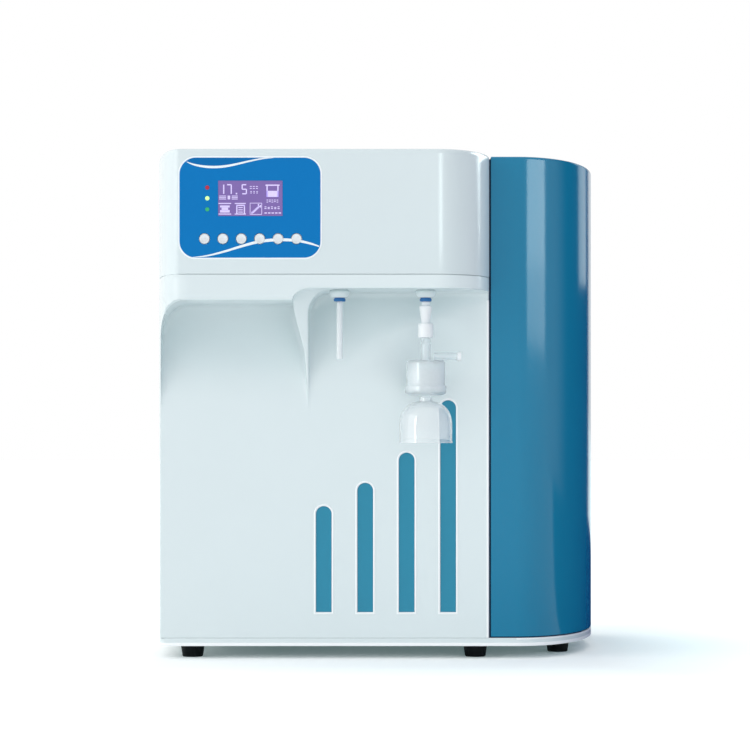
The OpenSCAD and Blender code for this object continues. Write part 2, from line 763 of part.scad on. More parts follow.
module filter_capsule() {
    r = capsule_d / 2;
    rim = r + 1.3;
    color(clear_plastic) difference() {
        union() {
            at_outlet(filter_x) polygon(concat(
                [[0, neck_low + 3], [2.2, neck_low + 3], [2.2, neck_low], [neck_r, neck_low],
                 [neck_r, capsule_low]],
                ellipse(12, capsule_low + 4, rim - 12, 4, 270, 360, 6),
                [[rim, capsule_low + 9.6], [r, capsule_low + 10.6], [r, capsule_top - 3],
                 [r - 1, capsule_top - 0.8], [r - 3, capsule_top], [5.8, capsule_top],
                 [neck_r, capsule_top + 1], [neck_r, ring_low], [3.6, ring_low], [3.6, ring_low + 3.6],
                 [0, ring_low + 3.6]]));
            translate([filter_x + 3, outlet_y, vent_z]) rotate([0, 90, 0])
                cylinder(r = vent_r, h = vent_reach - 7, $fn = 32);
        }
        at_outlet(filter_x) polygon([
            [0, neck_low + 5], [1.8, neck_low + 5], [8, capsule_low + 3.5], [r - 2.5, capsule_low + 5],
            [r - 2.5, capsule_top - 5.5], [r - 5, capsule_top - 2.5], [2, capsule_top - 2],
            [2, ring_low + 5], [0, ring_low + 5]]);
        translate([filter_x + 1, outlet_y, vent_z]) rotate([0, 90, 0])
            cylinder(r = vent_bore, h = vent_reach, $fn = 24);
    }
}

module filter_membrane() {
    r = capsule_d / 2 - 2.5 - play;
    color([0.96, 0.97, 0.97]) at_outlet(filter_x) polygon([
        [5, capsule_low + 5 + play], [r, capsule_low + 5 + play], [r, capsule_top - 9],
        [5, capsule_top - 9]]);
}

module vent_cap() {
    x0 = filter_x + vent_reach - 4 + clear;
    color(white) translate([x0, outlet_y, vent_z]) rotate([0, 90, 0]) union() {
        cylinder(r = vent_r + vent_lip, h = 4 - clear, $fn = 48);
        translate([0, 0, -3]) cylinder(r = vent_bore - running, h = 3 + eps, $fn = 24);
    }
}

// Rounded dome from its side up to angle a: fuller than an ellipse
function dome(r, z0, h, a0, a1, n) =
    [for (i = [0 : n]) let (t = a0 + (a1 - a0) * i / n) [r * pow(cos(t), 0.8), z0 + h * pow(sin(t), 0.8)]];

module bell_guard() {
    r = bell_d / 2;
    t = bell_wall;
    hub_r = neck_r + running;
    top = neck_low + 0.2;
    low = top - bell_h;
    h = bell_h * 0.62;
    color(clear_plastic) at_outlet(filter_x) polygon(concat(
        [[r - t, low], [r, low], [r, low + 1.6], [r - 0.4, low + 2.4]],
        dome(r - 0.4, top - h, h, 0, 80, 16),
        [[hub_r + 1.2, top + 0.1], [hub_r + 1.2, top + 3.4], [hub_r, top + 3.4], [hub_r, top - t]],
        dome(r - 0.4 - t, top - h, h - t, 76, 0, 16)));
}

// ---- Cartridge bay --------------------------------------------------------------------------

module cartridge(i) {
    r = cartridge_d / 2;
    color([0.93, 0.95, 0.96]) translate([bay_x, cartridge_y(i), 0]) rotate_extrude($fn = 64) polygon([
        [0, cartridge_low], [r - 3, cartridge_low], [r, cartridge_low + 3], [r, cartridge_top - 3],
        [r - 3, cartridge_top], [0, cartridge_top]]);
}

module cartridge_1() { cartridge(0); }
module cartridge_2() { cartridge(1); }
module cartridge_3() { cartridge(2); }

module cartridge_caps() {
    r = cartridge_d / 2 + cap_lip;
    color(blue) for (i = [0 : 2]) translate([bay_x, cartridge_y(i), 0]) {
        rotate_extrude($fn = 64) polygon([
            [0, floor_z], [r - 8, floor_z], [r, floor_z + 5], [r, cartridge_low + 8],
            [r - cap_lip + play, cartridge_low + 8], [r - cap_lip + play, cartridge_low + 2.9],
            [r - cap_lip - 3, cartridge_low - play], [0, cartridge_low - play]]);
        difference() {
            rotate_extrude($fn = 64) polygon([
                [0, cartridge_top + play], [r - cap_lip - 3, cartridge_top + play],
                [r - cap_lip + play, cartridge_top - 2.9], [r - cap_lip + play, cartridge_top - 8],
                [r, cartridge_top - 8], [r, cartridge_top + cap_h - 12],
                [r - 5, cartridge_top + cap_h - 8], [0, cartridge_top + cap_h - 8]]);
            for (s = [-1, 1]) translate([0, s * cap_port, cartridge_top + cap_h - 14])
                cylinder(r = socket_r, h = 10, $fn = 32);
        }
        for (s = [-1, 1]) translate([0, s * cap_port, cartridge_top + cap_h - 8 - eps]) difference() {
            cylinder(r = 6.5, h = 8, $fn = 32);
            translate([0, 0, -1]) cylinder(r = socket_r, h = 12, $fn = 32);
        }
    }
}

module cartridge_clips() {
    r = cartridge_d / 2 + play;
    color([0.25, 0.27, 0.30]) for (i = [0 : 2], z = [cartridge_low + 70, cartridge_top - 70])
        translate([bay_x, cartridge_y(i), z]) {
            rotate([0, 0, 65]) rotate_extrude(angle = 230, $fn = 64) translate([r, 0]) square([2.5, 14]);
            translate([partition_x - bay_x, -9, 0]) cube([bay_x - partition_x - r - 1, 18, 14]);
        }
}

module bay_tubing() {
    z0 = cartridge_top + cap_h - 13.5;
    z1 = cartridge_top + cap_h + 12;
    color([0.90, 0.93, 0.95]) for (i = [0 : 1])
        bow(bay_x, cartridge_y(i + 1) + cap_port, cartridge_y(i) - cap_port, z0, z1, tube_r);
}

// ---- Works ----------------------------------------------------------------------------------

module booster_pump() {
    x = left + 120;
    y = inner_rear_y - 150;
    r = motor_d / 2;
    z = floor_z + r + 12;
    color([0.20, 0.21, 0.23]) translate([x, y, z]) rotate([0, 90, 0]) cylinder(r = r, h = 92, $fn = 64);
    color([0.12, 0.13, 0.14]) block([x - 44, y - r + 2, z - r + 2], [x + 0.5, y + r - 2, z + r - 2]);
    color(steel) for (dx = [-34, 66]) {
        block([x + dx, y - r - 6, floor_z], [x + dx + 14, y + r + 6, floor_z + 8]);
        block([x + dx, y - r + 10, floor_z + 7], [x + dx + 14, y + r - 10, z - r + 6]);
    }
}

module membrane_housing() {
    r = membrane_d / 2;
    color([0.92, 0.93, 0.94]) translate([partition_x - sheet - 5 - r, inner_rear_y - 60, 0])
        rotate_extrude($fn = 64) polygon([
            [0, floor_z], [r - 8, floor_z], [r, floor_z + 8], [r, floor_z + 34], [r - 4, floor_z + 36],
            [r - 4, floor_z + 250], [r, floor_z + 252], [r, floor_z + 282], [r - 14, floor_z + 292],
            [9, floor_z + 294], [9, floor_z + 306], [0, floor_z + 306]]);
}

module uv_lamp_housing() {
    r = uv_d / 2;
    color(steel) translate([partition_x - sheet - 6 - r, inner_rear_y - 150, 0])
        rotate_extrude($fn = 48) polygon([
            [0, floor_z], [r, floor_z], [r, floor_z + 14], [r - 4, floor_z + 16],
            [r - 4, floor_z + 264], [r, floor_z + 266], [r, floor_z + 282], [8, floor_z + 290],
            [8, floor_z + 300], [0, floor_z + 300]]);
}

module power_supply() {
    y1 = inner_rear_y - 42;
    color([0.75, 0.77, 0.78]) block([left + 14, y1 - 56, floor_z], [left + 100, y1, floor_z + 160]);
    color([0.30, 0.31, 0.32]) for (i = [0 : 5])
        translate([left + 24 + i * 12, y1 - 46, floor_z + 160 - eps]) cube([5, 36, 3]);
}

module solenoid_valves() {
    color([0.16, 0.17, 0.19]) for (i = [0, 1]) translate([-70 + i * 52, inner_rear_y - 70, floor_z]) {
        block([-14, -18, 0], [14, 18, 16]);
        translate([0, 0, 15]) cylinder(r = 9, h = 8, $fn = 32);
        block([-15, -15, 22], [15, 15, 56]);
        for (s = [-1, 1]) translate([s * 14, 0, 8]) rotate([0, s * 90, 0]) cylinder(r = 6, h = 8, $fn = 32);
    }
}

// ---- Rear services --------------------------------------------------------------------------

module rear_ports() {
    body = sheet + port_out - 1.8 - collet_gap;
    color([0.85, 0.86, 0.87]) for (i = [0 : port_n - 1])
        translate([port_x(i), inner_rear_y, service_line]) rotate([-90, 0, 0]) difference() {
            union() {
                translate([0, 0, sheet]) cylinder(r = 9.5, h = 4, $fn = 6);
                translate([0, 0, -16]) cylinder(r = port_r, h = 16 + body, $fn = 48);
                translate([0, 0, -5]) cylinder(r = 9.5, h = 5, $fn = 6);
            }
            translate([0, 0, -17]) cylinder(r = socket_r, h = 60, $fn = 48);
            translate([0, 0, sheet + 4]) cylinder(r = collet_r + 0.1, h = 20, $fn = 48);
        }
}

module port_collet(i) {
    end = rear_y + port_out;
    color([0.55, 0.57, 0.60]) translate([port_x(i), 0, service_line]) rotate([-90, 0, 0])
        rotate_extrude($fn = 48) polygon([
                [socket_r, rear_y + 5.5], [collet_r, rear_y + 5.5], [collet_r, end - 1.8], [6.2, end - 1.8],
                 [6.2, end - 0.5], [5.7, end], [socket_r, end]]);
}

module port_collet_1() { port_collet(0); }
module port_collet_2() { port_collet(1); }
module port_collet_3() { port_collet(2); }
module port_collet_4() { port_collet(3); }

// Mains inlet below, rocker opening above, in one snap-in module
socket_w = 24.5;
socket_h = 16.5;
socket_deep = 17;
rocker_w = 19;
rocker_h = 12.6;
rocker_z = service_line + 12;

module power_module() {
    z = service_line;
    color([0.08, 0.08, 0.09]) difference() {
        union() {
            block([inlet_x - 17, rear_y, z - 27], [inlet_x + 17, rear_y + 2.5, z + 27]);
            block([inlet_x - 13.8, inner_rear_y - 18, z - 23.8], [inlet_x + 13.8, rear_y + eps, z + 23.8]);
        }
        block([inlet_x - socket_w / 2, rear_y + 2.5 - socket_deep, z - 20],
              [inlet_x + socket_w / 2, rear_y + 5, z - 20 + socket_h]);
        block([inlet_x - rocker_w / 2 - clear, rear_y - 12, rocker_z - rocker_h / 2 - clear],
              [inlet_x + rocker_w / 2 + clear, rear_y + 5, rocker_z + rocker_h / 2 + clear]);
    }
    color(steel) for (p = [[-7, -13.5], [7, -13.5], [0, -9.5]])
        translate([inlet_x + p.x - 1, rear_y + 2.4 - socket_deep, z + p.y - 2])
            cube([2, socket_deep - 3.4, 4]);
}

// The rocker tips about a pivot along X; at rest its upper half is pressed in
rocker_tilt = 10;

module power_rocker() {
    y = rear_y - 1;
    r = rocker_h / 2 - 0.5;
    color([0.10, 0.10, 0.11]) translate([inlet_x - rocker_w / 2, y, rocker_z]) rotate([rocker_tilt, 0, 0])
        rotate([90, 0, 90]) linear_extrude(rocker_w)
            polygon([[-4, -3], [-4, 3], [2.2, r], [4.4, r], [3.2, 0], [4.4, -r], [2.2, -r]]);
}

base_plate();
feet();
foot_screws();
front_fascia();
slot_insert();
head_cover();
left_panel();
rear_panel();
partition_panel();
control_overlay();
lcd_window();
lcd_module();
led_red();
led_yellow();
led_green();
control_board();
key_1();
key_2();
key_3();
key_4();
key_5();
key_6();
side_door();
hinge_pins();
hinge_bracket();
door_magnets();
door_strikes();
nozzle_collars();
nozzle_nuts();
collet_left();
collet_right();
outlet_tube();
filter_adapter();
filter_ring();
filter_capsule();
filter_membrane();
vent_cap();
bell_guard();
cartridge_1();
cartridge_2();
cartridge_3();
cartridge_caps();
cartridge_clips();
bay_tubing();
booster_pump();
membrane_housing();
uv_lamp_housing();
power_supply();
solenoid_valves();
rear_ports();
port_collet_1();
port_collet_2();
port_collet_3();
port_collet_4();
power_module();
power_rocker();
panel_screws();
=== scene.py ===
import math

import bpy
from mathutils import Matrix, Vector
from mathutils.geometry import tessellate_polygon


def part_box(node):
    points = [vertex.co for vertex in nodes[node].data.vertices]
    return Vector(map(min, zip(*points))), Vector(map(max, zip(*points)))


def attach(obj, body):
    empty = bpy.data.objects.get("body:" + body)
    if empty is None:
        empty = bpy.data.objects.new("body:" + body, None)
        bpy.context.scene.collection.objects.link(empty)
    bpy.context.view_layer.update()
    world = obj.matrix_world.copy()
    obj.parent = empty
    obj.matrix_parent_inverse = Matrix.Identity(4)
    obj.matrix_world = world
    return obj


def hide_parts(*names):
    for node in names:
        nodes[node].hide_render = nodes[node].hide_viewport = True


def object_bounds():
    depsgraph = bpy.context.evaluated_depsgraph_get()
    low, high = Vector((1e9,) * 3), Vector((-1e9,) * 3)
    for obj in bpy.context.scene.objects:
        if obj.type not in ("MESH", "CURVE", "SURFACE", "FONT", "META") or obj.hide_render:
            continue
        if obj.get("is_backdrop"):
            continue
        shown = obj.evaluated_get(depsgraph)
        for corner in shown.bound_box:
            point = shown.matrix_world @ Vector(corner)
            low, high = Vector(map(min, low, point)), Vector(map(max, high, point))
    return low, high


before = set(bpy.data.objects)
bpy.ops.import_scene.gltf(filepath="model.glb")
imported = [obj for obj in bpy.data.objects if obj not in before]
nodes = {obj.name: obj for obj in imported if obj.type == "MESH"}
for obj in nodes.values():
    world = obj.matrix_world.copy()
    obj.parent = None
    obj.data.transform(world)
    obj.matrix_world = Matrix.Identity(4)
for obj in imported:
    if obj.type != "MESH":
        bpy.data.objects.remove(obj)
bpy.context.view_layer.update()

# ---- Camera ----
# A long lens, level and square to the front, 2.5 m before the head. The lens is shifted a little
# upwards, so that the unit's upright edges stay upright.

scene = bpy.context.scene
scene.view_settings.view_transform = "Standard"

HEAD_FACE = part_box("head_cover")[0].y
CAMERA_DISTANCE = 2.5
CAMERA_X = -0.0053
CAMERA_Z = 0.2283
LENS_RISE = 0.0813

camera_data = bpy.data.cameras.new("camera")
camera_data.lens = 120
camera_data.sensor_width = 36
camera_data.shift_y = LENS_RISE
camera = bpy.data.objects.new("camera", camera_data)
camera.location = (CAMERA_X, HEAD_FACE - CAMERA_DISTANCE, CAMERA_Z)
camera.rotation_euler = (math.radians(90), 0, 0)
scene.collection.objects.link(camera)
scene.camera = camera

# ---- Studio ----
# A white sweep in an even sky that is darker and bluer on the right, with a broad softbox at the
# left. Strips draw the highlights on the white shell, the blue cover and the filter, and a dark card
# keeps the cover's far side dark. The strips and the card work by reflection alone.


def fresh_tree(owner):
    owner.use_nodes = True
    owner.node_tree.nodes.clear()
    return owner.node_tree


def add(tree, kind, sockets=None, **settings):
    """A shader node with its settings; each of the sockets takes a value or another node's output."""
    node = tree.nodes.new(kind)
    for name, value in settings.items():
        setattr(node, name, value)
    for name, value in (sockets or {}).items():
        if isinstance(value, bpy.types.NodeSocket):
            tree.links.new(value, node.inputs[name])
        else:
            node.inputs[name].default_value = value
    return node


def larger(tree, a, b):
    return add(tree, "ShaderNodeMath", {0: a, 1: b}, operation="MAXIMUM").outputs[0]


def blended(tree, share, first, second):
    """A colour between first and second."""
    return add(tree, "ShaderNodeMix", {0: share, 6: first, 7: second}, data_type="RGBA").outputs[2]


def ranged(tree, value, low, high, start=0.0, end=1.0, **settings):
    """Between low and high, as the value goes from start to end."""
    sockets = {0: value, 1: start, 2: end, 3: low, 4: high}
    return add(tree, "ShaderNodeMapRange", sockets, **settings).outputs[0]


def either(tree, share, first, second):
    return add(tree, "ShaderNodeMixShader", {0: share, 1: first.outputs[0], 2: second.outputs[0]})


def straight_rays(tree):
    """1 for the rays that look at a thing directly, in a mirror or through glass."""
    rays = add(tree, "ShaderNodeLightPath").outputs
    mirrored = larger(tree, rays["Is Camera Ray"], rays["Is Glossy Ray"])
    return larger(tree, mirrored, rays["Is Transmission Ray"])


WHITE = (1, 1, 1, 1)
OPEN_SKY = (1.12, 1.11, 1.11, 1)
RIGHT_SKY = (0.04, 0.07, 0.22, 1)
# The sky turns to its right colour between these shares of straight right
RIGHT_START = 0.25
RIGHT_FULL = 0.85
world = bpy.data.worlds.new("sky")
scene.world = world
tree = fresh_tree(world)
aim = add(tree, "ShaderNodeTexCoord").outputs["Generated"]
rightward = add(tree, "ShaderNodeSeparateXYZ", {0: aim}).outputs["X"]
tone = blended(tree, ranged(tree, rightward, 0, 1, RIGHT_START, RIGHT_FULL), OPEN_SKY, RIGHT_SKY)
lit = add(tree, "ShaderNodeBackground", {"Color": tone, "Strength": 1.0})
seen = add(tree, "ShaderNodeBackground", {"Color": WHITE, "Strength": 1.0})
add(tree, "ShaderNodeOutputWorld", {0: either(tree, straight_rays(tree), lit, seen).outputs[0]})


def softbox(name, place, target, width, height, watts, colour):
    lamp = bpy.data.lights.new(name, "AREA")
    lamp.shape = "RECTANGLE"
    lamp.size = width
    lamp.size_y = height
    lamp.energy = watts
    lamp.color = colour
    lamp_object = bpy.data.objects.new(name, lamp)
    lamp_object.location = place
    lamp_object.rotation_euler = (Vector(target) - Vector(place)).to_track_quat("-Z", "Y").to_euler()
    scene.collection.objects.link(lamp_object)
    return lamp_object


def strip(name, reached, place, target, width, height, watts):
    """A light that is only seen reflected, and only in the things of one collection."""
    lamp_object = softbox(name, place, target, width, height, watts, (0.88, 1, 0.98))
    lamp_object.visible_diffuse = False
    lamp_object.light_linking.receiver_collection = reached


softbox("key_light", (-2.6, -1.2, 1.1), (0, 0, 0.3), 1.8, 1.8, 15.5, (1, 0.93, 0.93))
# What each of the strips and the fill reaches
housing_things, cover_things, filter_things, corner_things, fascia_things = (
    bpy.data.collections.new(name + "_things") for name in ("housing", "cover", "filter", "corner", "fascia"))
strip("housing_strip", housing_things, (0.75, -3.1, 0.6), (0.06, -0.2, 0.4), 0.42, 1.5, 20)
strip("corner_strip", corner_things, (1.02, 0.62, 0.6), (0.1, -0.15, 0.4), 0.69, 1.5, 30)
strip("filter_strip", filter_things, (-1.5, -1.55, 0.75), (0.05, -0.17, 0.3), 0.3, 1.0, 9)
strip("cover_strip_high", cover_things, (1.46, -1.07, 0.83), (0.16, -0.13, 0.83), 1.33, 0.6, 20)
strip("cover_strip_low", cover_things, (1.46, -1.07, 0.7), (0.16, -0.13, 0.7), 1.33, 0.86, 18)
strip("cover_strip_side", cover_things, (0.872, 0.97, 0.74), (0.21, -0.03, 0.74), 0.31, 0.56, 0.6)
# A weak fill beside the camera lifts the fascia's right end and the base out of the cover's shade
fill = softbox("fascia_fill", (0.22, -0.56, 0.26), (0.1, -0.15, 0.3), 0.35, 0.45, 0.21, (1, 0.97, 0.93))
fill.visible_glossy = False
fill.light_linking.receiver_collection = fascia_things


def new_look(name):
    """A material without a shader, its node tree, and the place on the object for its textures."""
    look = bpy.data.materials.new(name)
    tree = fresh_tree(look)
    return look, tree, add(tree, "ShaderNodeTexCoord").outputs["Object"]


def finished(tree, shader):
    add(tree, "ShaderNodeOutputMaterial", {0: shader.outputs[0]})


def backdrop(name, verts, faces):
    """A flat thing of the studio, with the tree and the place of its own finish."""
    mesh = bpy.data.meshes.new(name)
    mesh.from_pydata(verts, [], faces)
    look, tree, place = new_look(name)
    mesh.materials.append(look)
    made = bpy.data.objects.new(name, mesh)
    scene.collection.objects.link(made)
    return made, tree, place


# The card stands at the right, and a second part of it lies on the floor before it
CARD_FRONT = (1.3, -0.25)
CARD_BACK = (0.95, 2.0)
CARD_TOP = 1.6
CARD_FOOT = 0.001
LYING = ((0.24, -0.08), (1.27, -0.05), CARD_BACK, (0.24, 2.0))
corners = [(*CARD_FRONT, CARD_FOOT), (*CARD_BACK, CARD_FOOT), (*CARD_BACK, CARD_TOP), (*CARD_FRONT, CARD_TOP)]
corners += [(x, y, CARD_FOOT) for x, y in LYING]
card, tree, place = backdrop("dark_card", corners, [(0, 1, 2, 3), (4, 5, 6, 7)])
card.visible_camera = card.visible_diffuse = card.visible_shadow = card.visible_transmission = False
card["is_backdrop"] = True
# Its front end is white and shades off to the dark part; the part on the floor is all dark
along = add(tree, "ShaderNodeSeparateXYZ", {0: place}).outputs
lying = add(tree, "ShaderNodeMath", {0: along["Z"], 1: 5 * CARD_FOOT}, operation="LESS_THAN").outputs[0]
shading = ranged(tree, along["Y"], 0, 1, -0.15, 0.5, interpolation_type="SMOOTHSTEP")
tone = blended(tree, larger(tree, lying, shading), WHITE, (0.003, 0.01, 0.12, 1))
finished(tree, add(tree, "ShaderNodeEmission", {"Color": tone, "Strength": 1.0}))

FLOOR_HALF = 20
square = [(x * FLOOR_HALF, y * FLOOR_HALF, 0) for x, y in ((-1, -1), (1, -1), (1, 1), (-1, 1))]
floor, tree, place = backdrop("floor", square, [(0, 1, 2, 3)])
floor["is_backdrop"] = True
# Painted light: the sweep's glow is stronger beside the unit than under it, which lifts the unit's shadow
# beside it, and its blue-green tint colours the shade under the unit
UNDER = 0.22
BESIDE = 0.4
away = add(tree, "ShaderNodeVectorMath", {0: place}, operation="ABSOLUTE").outputs[0]
away = add(tree, "ShaderNodeSeparateXYZ", {0: away}).outputs
strength = ranged(tree, larger(tree, away["X"], away["Y"]), 0.12, 0.42, UNDER, BESIDE)
paper = add(tree, "ShaderNodeBsdfDiffuse", {"Color": (0.96, 0.96, 0.96, 1)})
glow = add(tree, "ShaderNodeEmission", {"Color": (0.65, 1, 1, 1), "Strength": strength})
both = add(tree, "ShaderNodeAddShader", {0: paper.outputs[0], 1: glow.outputs[0]})
finished(tree, either(tree, straight_rays(tree), paper, both))

# ---- Base ----
# The floor of the unit is one white ABS moulding. Its edge is rounded below, its left side follows
# the head's corner, and its right side the curve of the side cover that stands on it.

MM = 0.001


def linear(*rgb):
    """A colour as it looks, 0 to 255, in the renderer's own scale."""
    return tuple((c / 255 / 12.92) if c <= 10 else ((c / 255 + 0.055) / 1.055) ** 2.4 for c in rgb) + (1,)


def noise(tree, place, scale, detail):
    return add(tree, "ShaderNodeTexNoise", {"Vector": place, "Scale": scale, "Detail": detail}).outputs[0]


def toned(colour, share):
    return tuple(min(1, c * share) for c in colour[:3]) + (1,)


def finish(tree, shade, grain, dark, light, rough, wear, relief, depth, sockets):
    """The shader of an opaque finish: shade is the noise of its colour, grain that of its fine texture."""
    bump = add(tree, "ShaderNodeBump", {"Strength": relief, "Distance": depth * MM, "Height": grain})
    uneven = ranged(tree, grain, rough * (1 - wear), min(1, rough * (1 + wear)))
    finished(tree, add(tree, "ShaderNodeBsdfPrincipled", sockets | {
        "Base Color": blended(tree, shade, dark, light), "Roughness": uneven, "Normal": bump.outputs[0]}))


def moulded(name, colour, rough, grain=0.5, depth=0.02, drift=0.03, level=0.5):
    """Plastic from a mould: grain is the size of its fine texture in mm, drift its shade's slow change."""
    look, tree, place = new_look(name)
    slow = noise(tree, place, 14.0, 3.0)
    fine = noise(tree, place, 1 / (grain * MM), 2.0)
    finish(tree, slow, fine, toned(colour, 1 - drift), toned(colour, 1 + drift), rough, 0.15, 0.35, depth,
           {"IOR": 1.5, "Specular IOR Level": level})
    return look


def piece(name, shape, look, stands_for=None, body="chassis", crease=35):
    """A mesh in millimetres, smooth except where its faces meet at more than crease degrees."""
    verts, faces = shape
    mesh = bpy.data.meshes.new(name)
    mesh.from_pydata([(x * MM, y * MM, z * MM) for x, y, z in verts], [], faces)
    mesh.validate()
    for polygon in mesh.polygons:
        polygon.use_smooth = True
    mesh.set_sharp_from_angle(angle=math.radians(crease))
    mesh.materials.append(look)
    made = bpy.data.objects.new(name, mesh)
    scene.collection.objects.link(made)
    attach(made, body)
    if stands_for:
        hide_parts(stands_for)
    return made


def arc(cx, cy, a, b, start, end, steps):
    """Points on an ellipse from angle start to angle end, in degrees."""
    turns = [math.radians(start + (end - start) * k / steps) for k in range(steps + 1)]
    return [(cx + a * math.cos(t), cy + b * math.sin(t)) for t in turns]


def stack(rings, cap_low=True, cap_high=True, around=True):
    """Vertices and faces through equal rings, the lowest first, each counterclockwise from above."""
    n = len(rings[0])
    verts = [p for ring in rings for p in ring]
    faces = []
    for k in range(len(rings) - 1):
        for i in range(n if around else n - 1):
            j = (i + 1) % n
            faces.append((k * n + i, k * n + j, (k + 1) * n + j, (k + 1) * n + i))
    if cap_low:
        faces.append(tuple(range(n - 1, -1, -1)))
    if cap_high:
        faces.append(tuple(range((len(rings) - 1) * n, len(rings) * n)))
    return verts, faces


def band(rings):
    """An open strip through equal lines of points."""
    return stack(rings, cap_low=False, cap_high=False, around=False)


def hoop(rings):
    """A closed strip through equal rings."""
    return stack(rings, cap_low=False, cap_high=False)


def rings_of(outline, levels):
    """The outline at each level, an inset and a height."""
    return [[(x, y, z) for x, y in outline(inset)] for inset, z in levels]


def lower_edge(r, z, steps):
    """Levels that round an outline's lower edge, which is at height z."""
    turns = [math.radians(90 * k / steps) for k in range(steps + 1)]
    return [(r * (1 - math.sin(t)), z + r * (1 - math.cos(t))) for t in turns]


def mm_box(node):
    """A node's lowest and highest corners in millimetres."""
    low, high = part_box(node)
    return low / MM, high / MM


base_low, base_high = mm_box("base_plate")
fascia_low, fascia_high = mm_box("front_fascia")
FACE_Y = HEAD_FACE / MM
PANEL_Y = base_low.y
LEFT, SEAM = fascia_low.x, fascia_high.x
RIGHT = base_high.x
REAR_Y = base_high.y
# Left corner of the head, fascia and base: half a width and a depth of one ellipse
CORNER_W = 30.5
CORNER_D = 150
# Curve of the side cover
CURVE_W = 91.6
CURVE_D = 195
# The base's own front corner meets the ellipse at this angle
BASE_TURN = 212
BASE_CORNER = 7.5
BASE_EDGE = 0.8
# A rail runs round the foot of the base, a little proud of its side; its brighter white is a painted
# highlight along the base's lower edge
RAIL = 3.4
RAIL_PROUD = 0.15


def base_outline(inset):
    corner_y = FACE_Y + CORNER_D
    turned_x = LEFT + CORNER_W * (1 + math.cos(math.radians(BASE_TURN)))
    turned_y = corner_y + CORNER_D * math.sin(math.radians(BASE_TURN))
    return ([(LEFT + inset, REAR_Y)]
            + arc(LEFT + CORNER_W, corner_y, CORNER_W - inset, CORNER_D - inset, 180, BASE_TURN, 12)
            + arc(turned_x + BASE_CORNER, turned_y, BASE_CORNER - inset, turned_y - PANEL_Y - inset,
                  200, 270, 8)
            + arc(RIGHT - CURVE_W, PANEL_Y + CURVE_D, CURVE_W - inset, CURVE_D - inset, 270, 360, 48)
            + [(RIGHT - inset, REAR_Y)])


white_abs = moulded("white_abs", linear(216, 230, 232), 0.2, grain=0.6, depth=0.008, drift=0.01, level=0.4)
# Painted highlight: this brighter white marks the highlights that the rounded edges of the base, the slots
# and the seam catch
highlight_white = moulded("highlight_white", linear(246, 253, 254), 0.25, grain=0.5, depth=0.006, drift=0.01)
rail_top = base_low.z + RAIL
levels = lower_edge(BASE_EDGE, base_low.z, 5) + [(0, rail_top - 0.2), (RAIL_PROUD, rail_top)]
rail = piece("base_highlight_rail", stack(rings_of(base_outline, levels), cap_high=False), highlight_white,
             "base_plate")
levels = [(RAIL_PROUD, rail_top), (RAIL_PROUD, base_high.z - 0.4), (0.5, base_high.z)]
moulding = piece("base_moulding", stack(rings_of(base_outline, levels), cap_low=False), white_abs,
                 "base_plate")
for made in (rail, moulding):
    fascia_things.objects.link(made)

# The rim under the side cover, in the brighter white of a painted highlight along the base's upper edge: only
# the outline's points right of the seam
RIM_POINTS = slice(22, -1)
levels = [(inset, base_high.z + rise)
          for inset, rise in ((0.1, -1.8), (0, -1.6), (0, -0.4), (0.35, 0.02), (2.5, 0.02))]
rim = [[p for p in ring[RIM_POINTS] if p[0] > SEAM - 2.4] for ring in rings_of(base_outline, levels)]
shortest = min(len(line) for line in rim)
piece("base_highlight_rim", band([line[-shortest:] for line in rim]), highlight_white)

# ---- Feet ----
# Six tapered black rubber feet, moulded with a hollow for the screw that holds each to the base.

rubber = moulded("black_rubber", linear(2, 8, 12), 0.62, grain=0.35, depth=0.03, drift=0.12, level=0.15)


def dress(look, *names):
    """Gives CAD nodes their finish and smooths their curved faces."""
    for mesh in (nodes[name].data for name in names):
        mesh.materials.clear()
        mesh.materials.append(look)
        for polygon in mesh.polygons:
            polygon.use_smooth = True
            polygon.material_index = 0
        mesh.set_sharp_from_angle(angle=math.radians(30))


def metal(name, colour, rough, brushed=0.0):
    """Bare or plated metal; brushed is the strength of fine lines along its length."""
    look, tree, place = new_look(name)
    scale = (60, 60, 900) if brushed else (300, 300, 300)
    drawn = add(tree, "ShaderNodeMapping", {"Vector": place, "Scale": scale}).outputs[0]
    fine = noise(tree, drawn, 1.0, 3.0)
    finish(tree, fine, fine, toned(colour, 0.82), toned(colour, 1.1), rough, 0.3, 0.2 + brushed, 0.02,
           {"Metallic": 1.0})
    return look


zinc = metal("zinc_plate", (0.62, 0.64, 0.66, 1), 0.35)
dress(rubber, "feet")
dress(zinc, "foot_screws")

# ---- Front fascia ----
# One white moulding below the head. Its skirt carries on the head's front, two niches are scooped
# out under it, and the rib between them and the left cheek sweep back into the flat lower panel.

REACH = PANEL_Y - FACE_Y
NOSE_W = 58
NOSE_D = 84
NOSE_X = SEAM - 0.953 * NOSE_W
SEAM_EDGE = 2.2
NOSE_TURN = math.degrees(math.asin((SEAM - SEAM_EDGE - NOSE_X) / NOSE_W))
CEILING = 376.3
LEFT_CEILING = 364.3
SWEEP_FOOT = 245.3
CHEEK = 6.7
CHEEK_X = LEFT + CHEEK
RIB_RIGHT = SEAM - 184.8
# The rib's width at heights from the skirt down
RIB_WIDTHS = [(LEFT_CEILING, 15.1), (354, 14.3), (346, 12.4), (331.6, 8.5), (316, 4.6), (296, 2.7),
              (265, 0.9), (240, 0.5), (0, 0.5)]
NICHE_LEAN = 25
LEAN_RISE = 94
# The right niche leans back above a slanting line: its height at the rib, its slope, and the lean
SLANT_X = -51.7
SLANT_Z = 296.3
SLANT = 0.497
SLANT_LEAN = 0.35
SLANT_SOFT = 11
# The bowl's middle, half-axes and depth
BOWL_X = 47
BOWL_Z = 311
BOWL_W = 60
BOWL_H = 46
BOWL_D = 9.8
SLOT_X = [SEAM - 41.9 - 42.5 * k for k in (3, 2, 1, 0)]
SLOT_TOP = [156.3, 180.2, 211.2, 264.9]
SLOT_LOW = 47.8
SLOT_HALF = 8


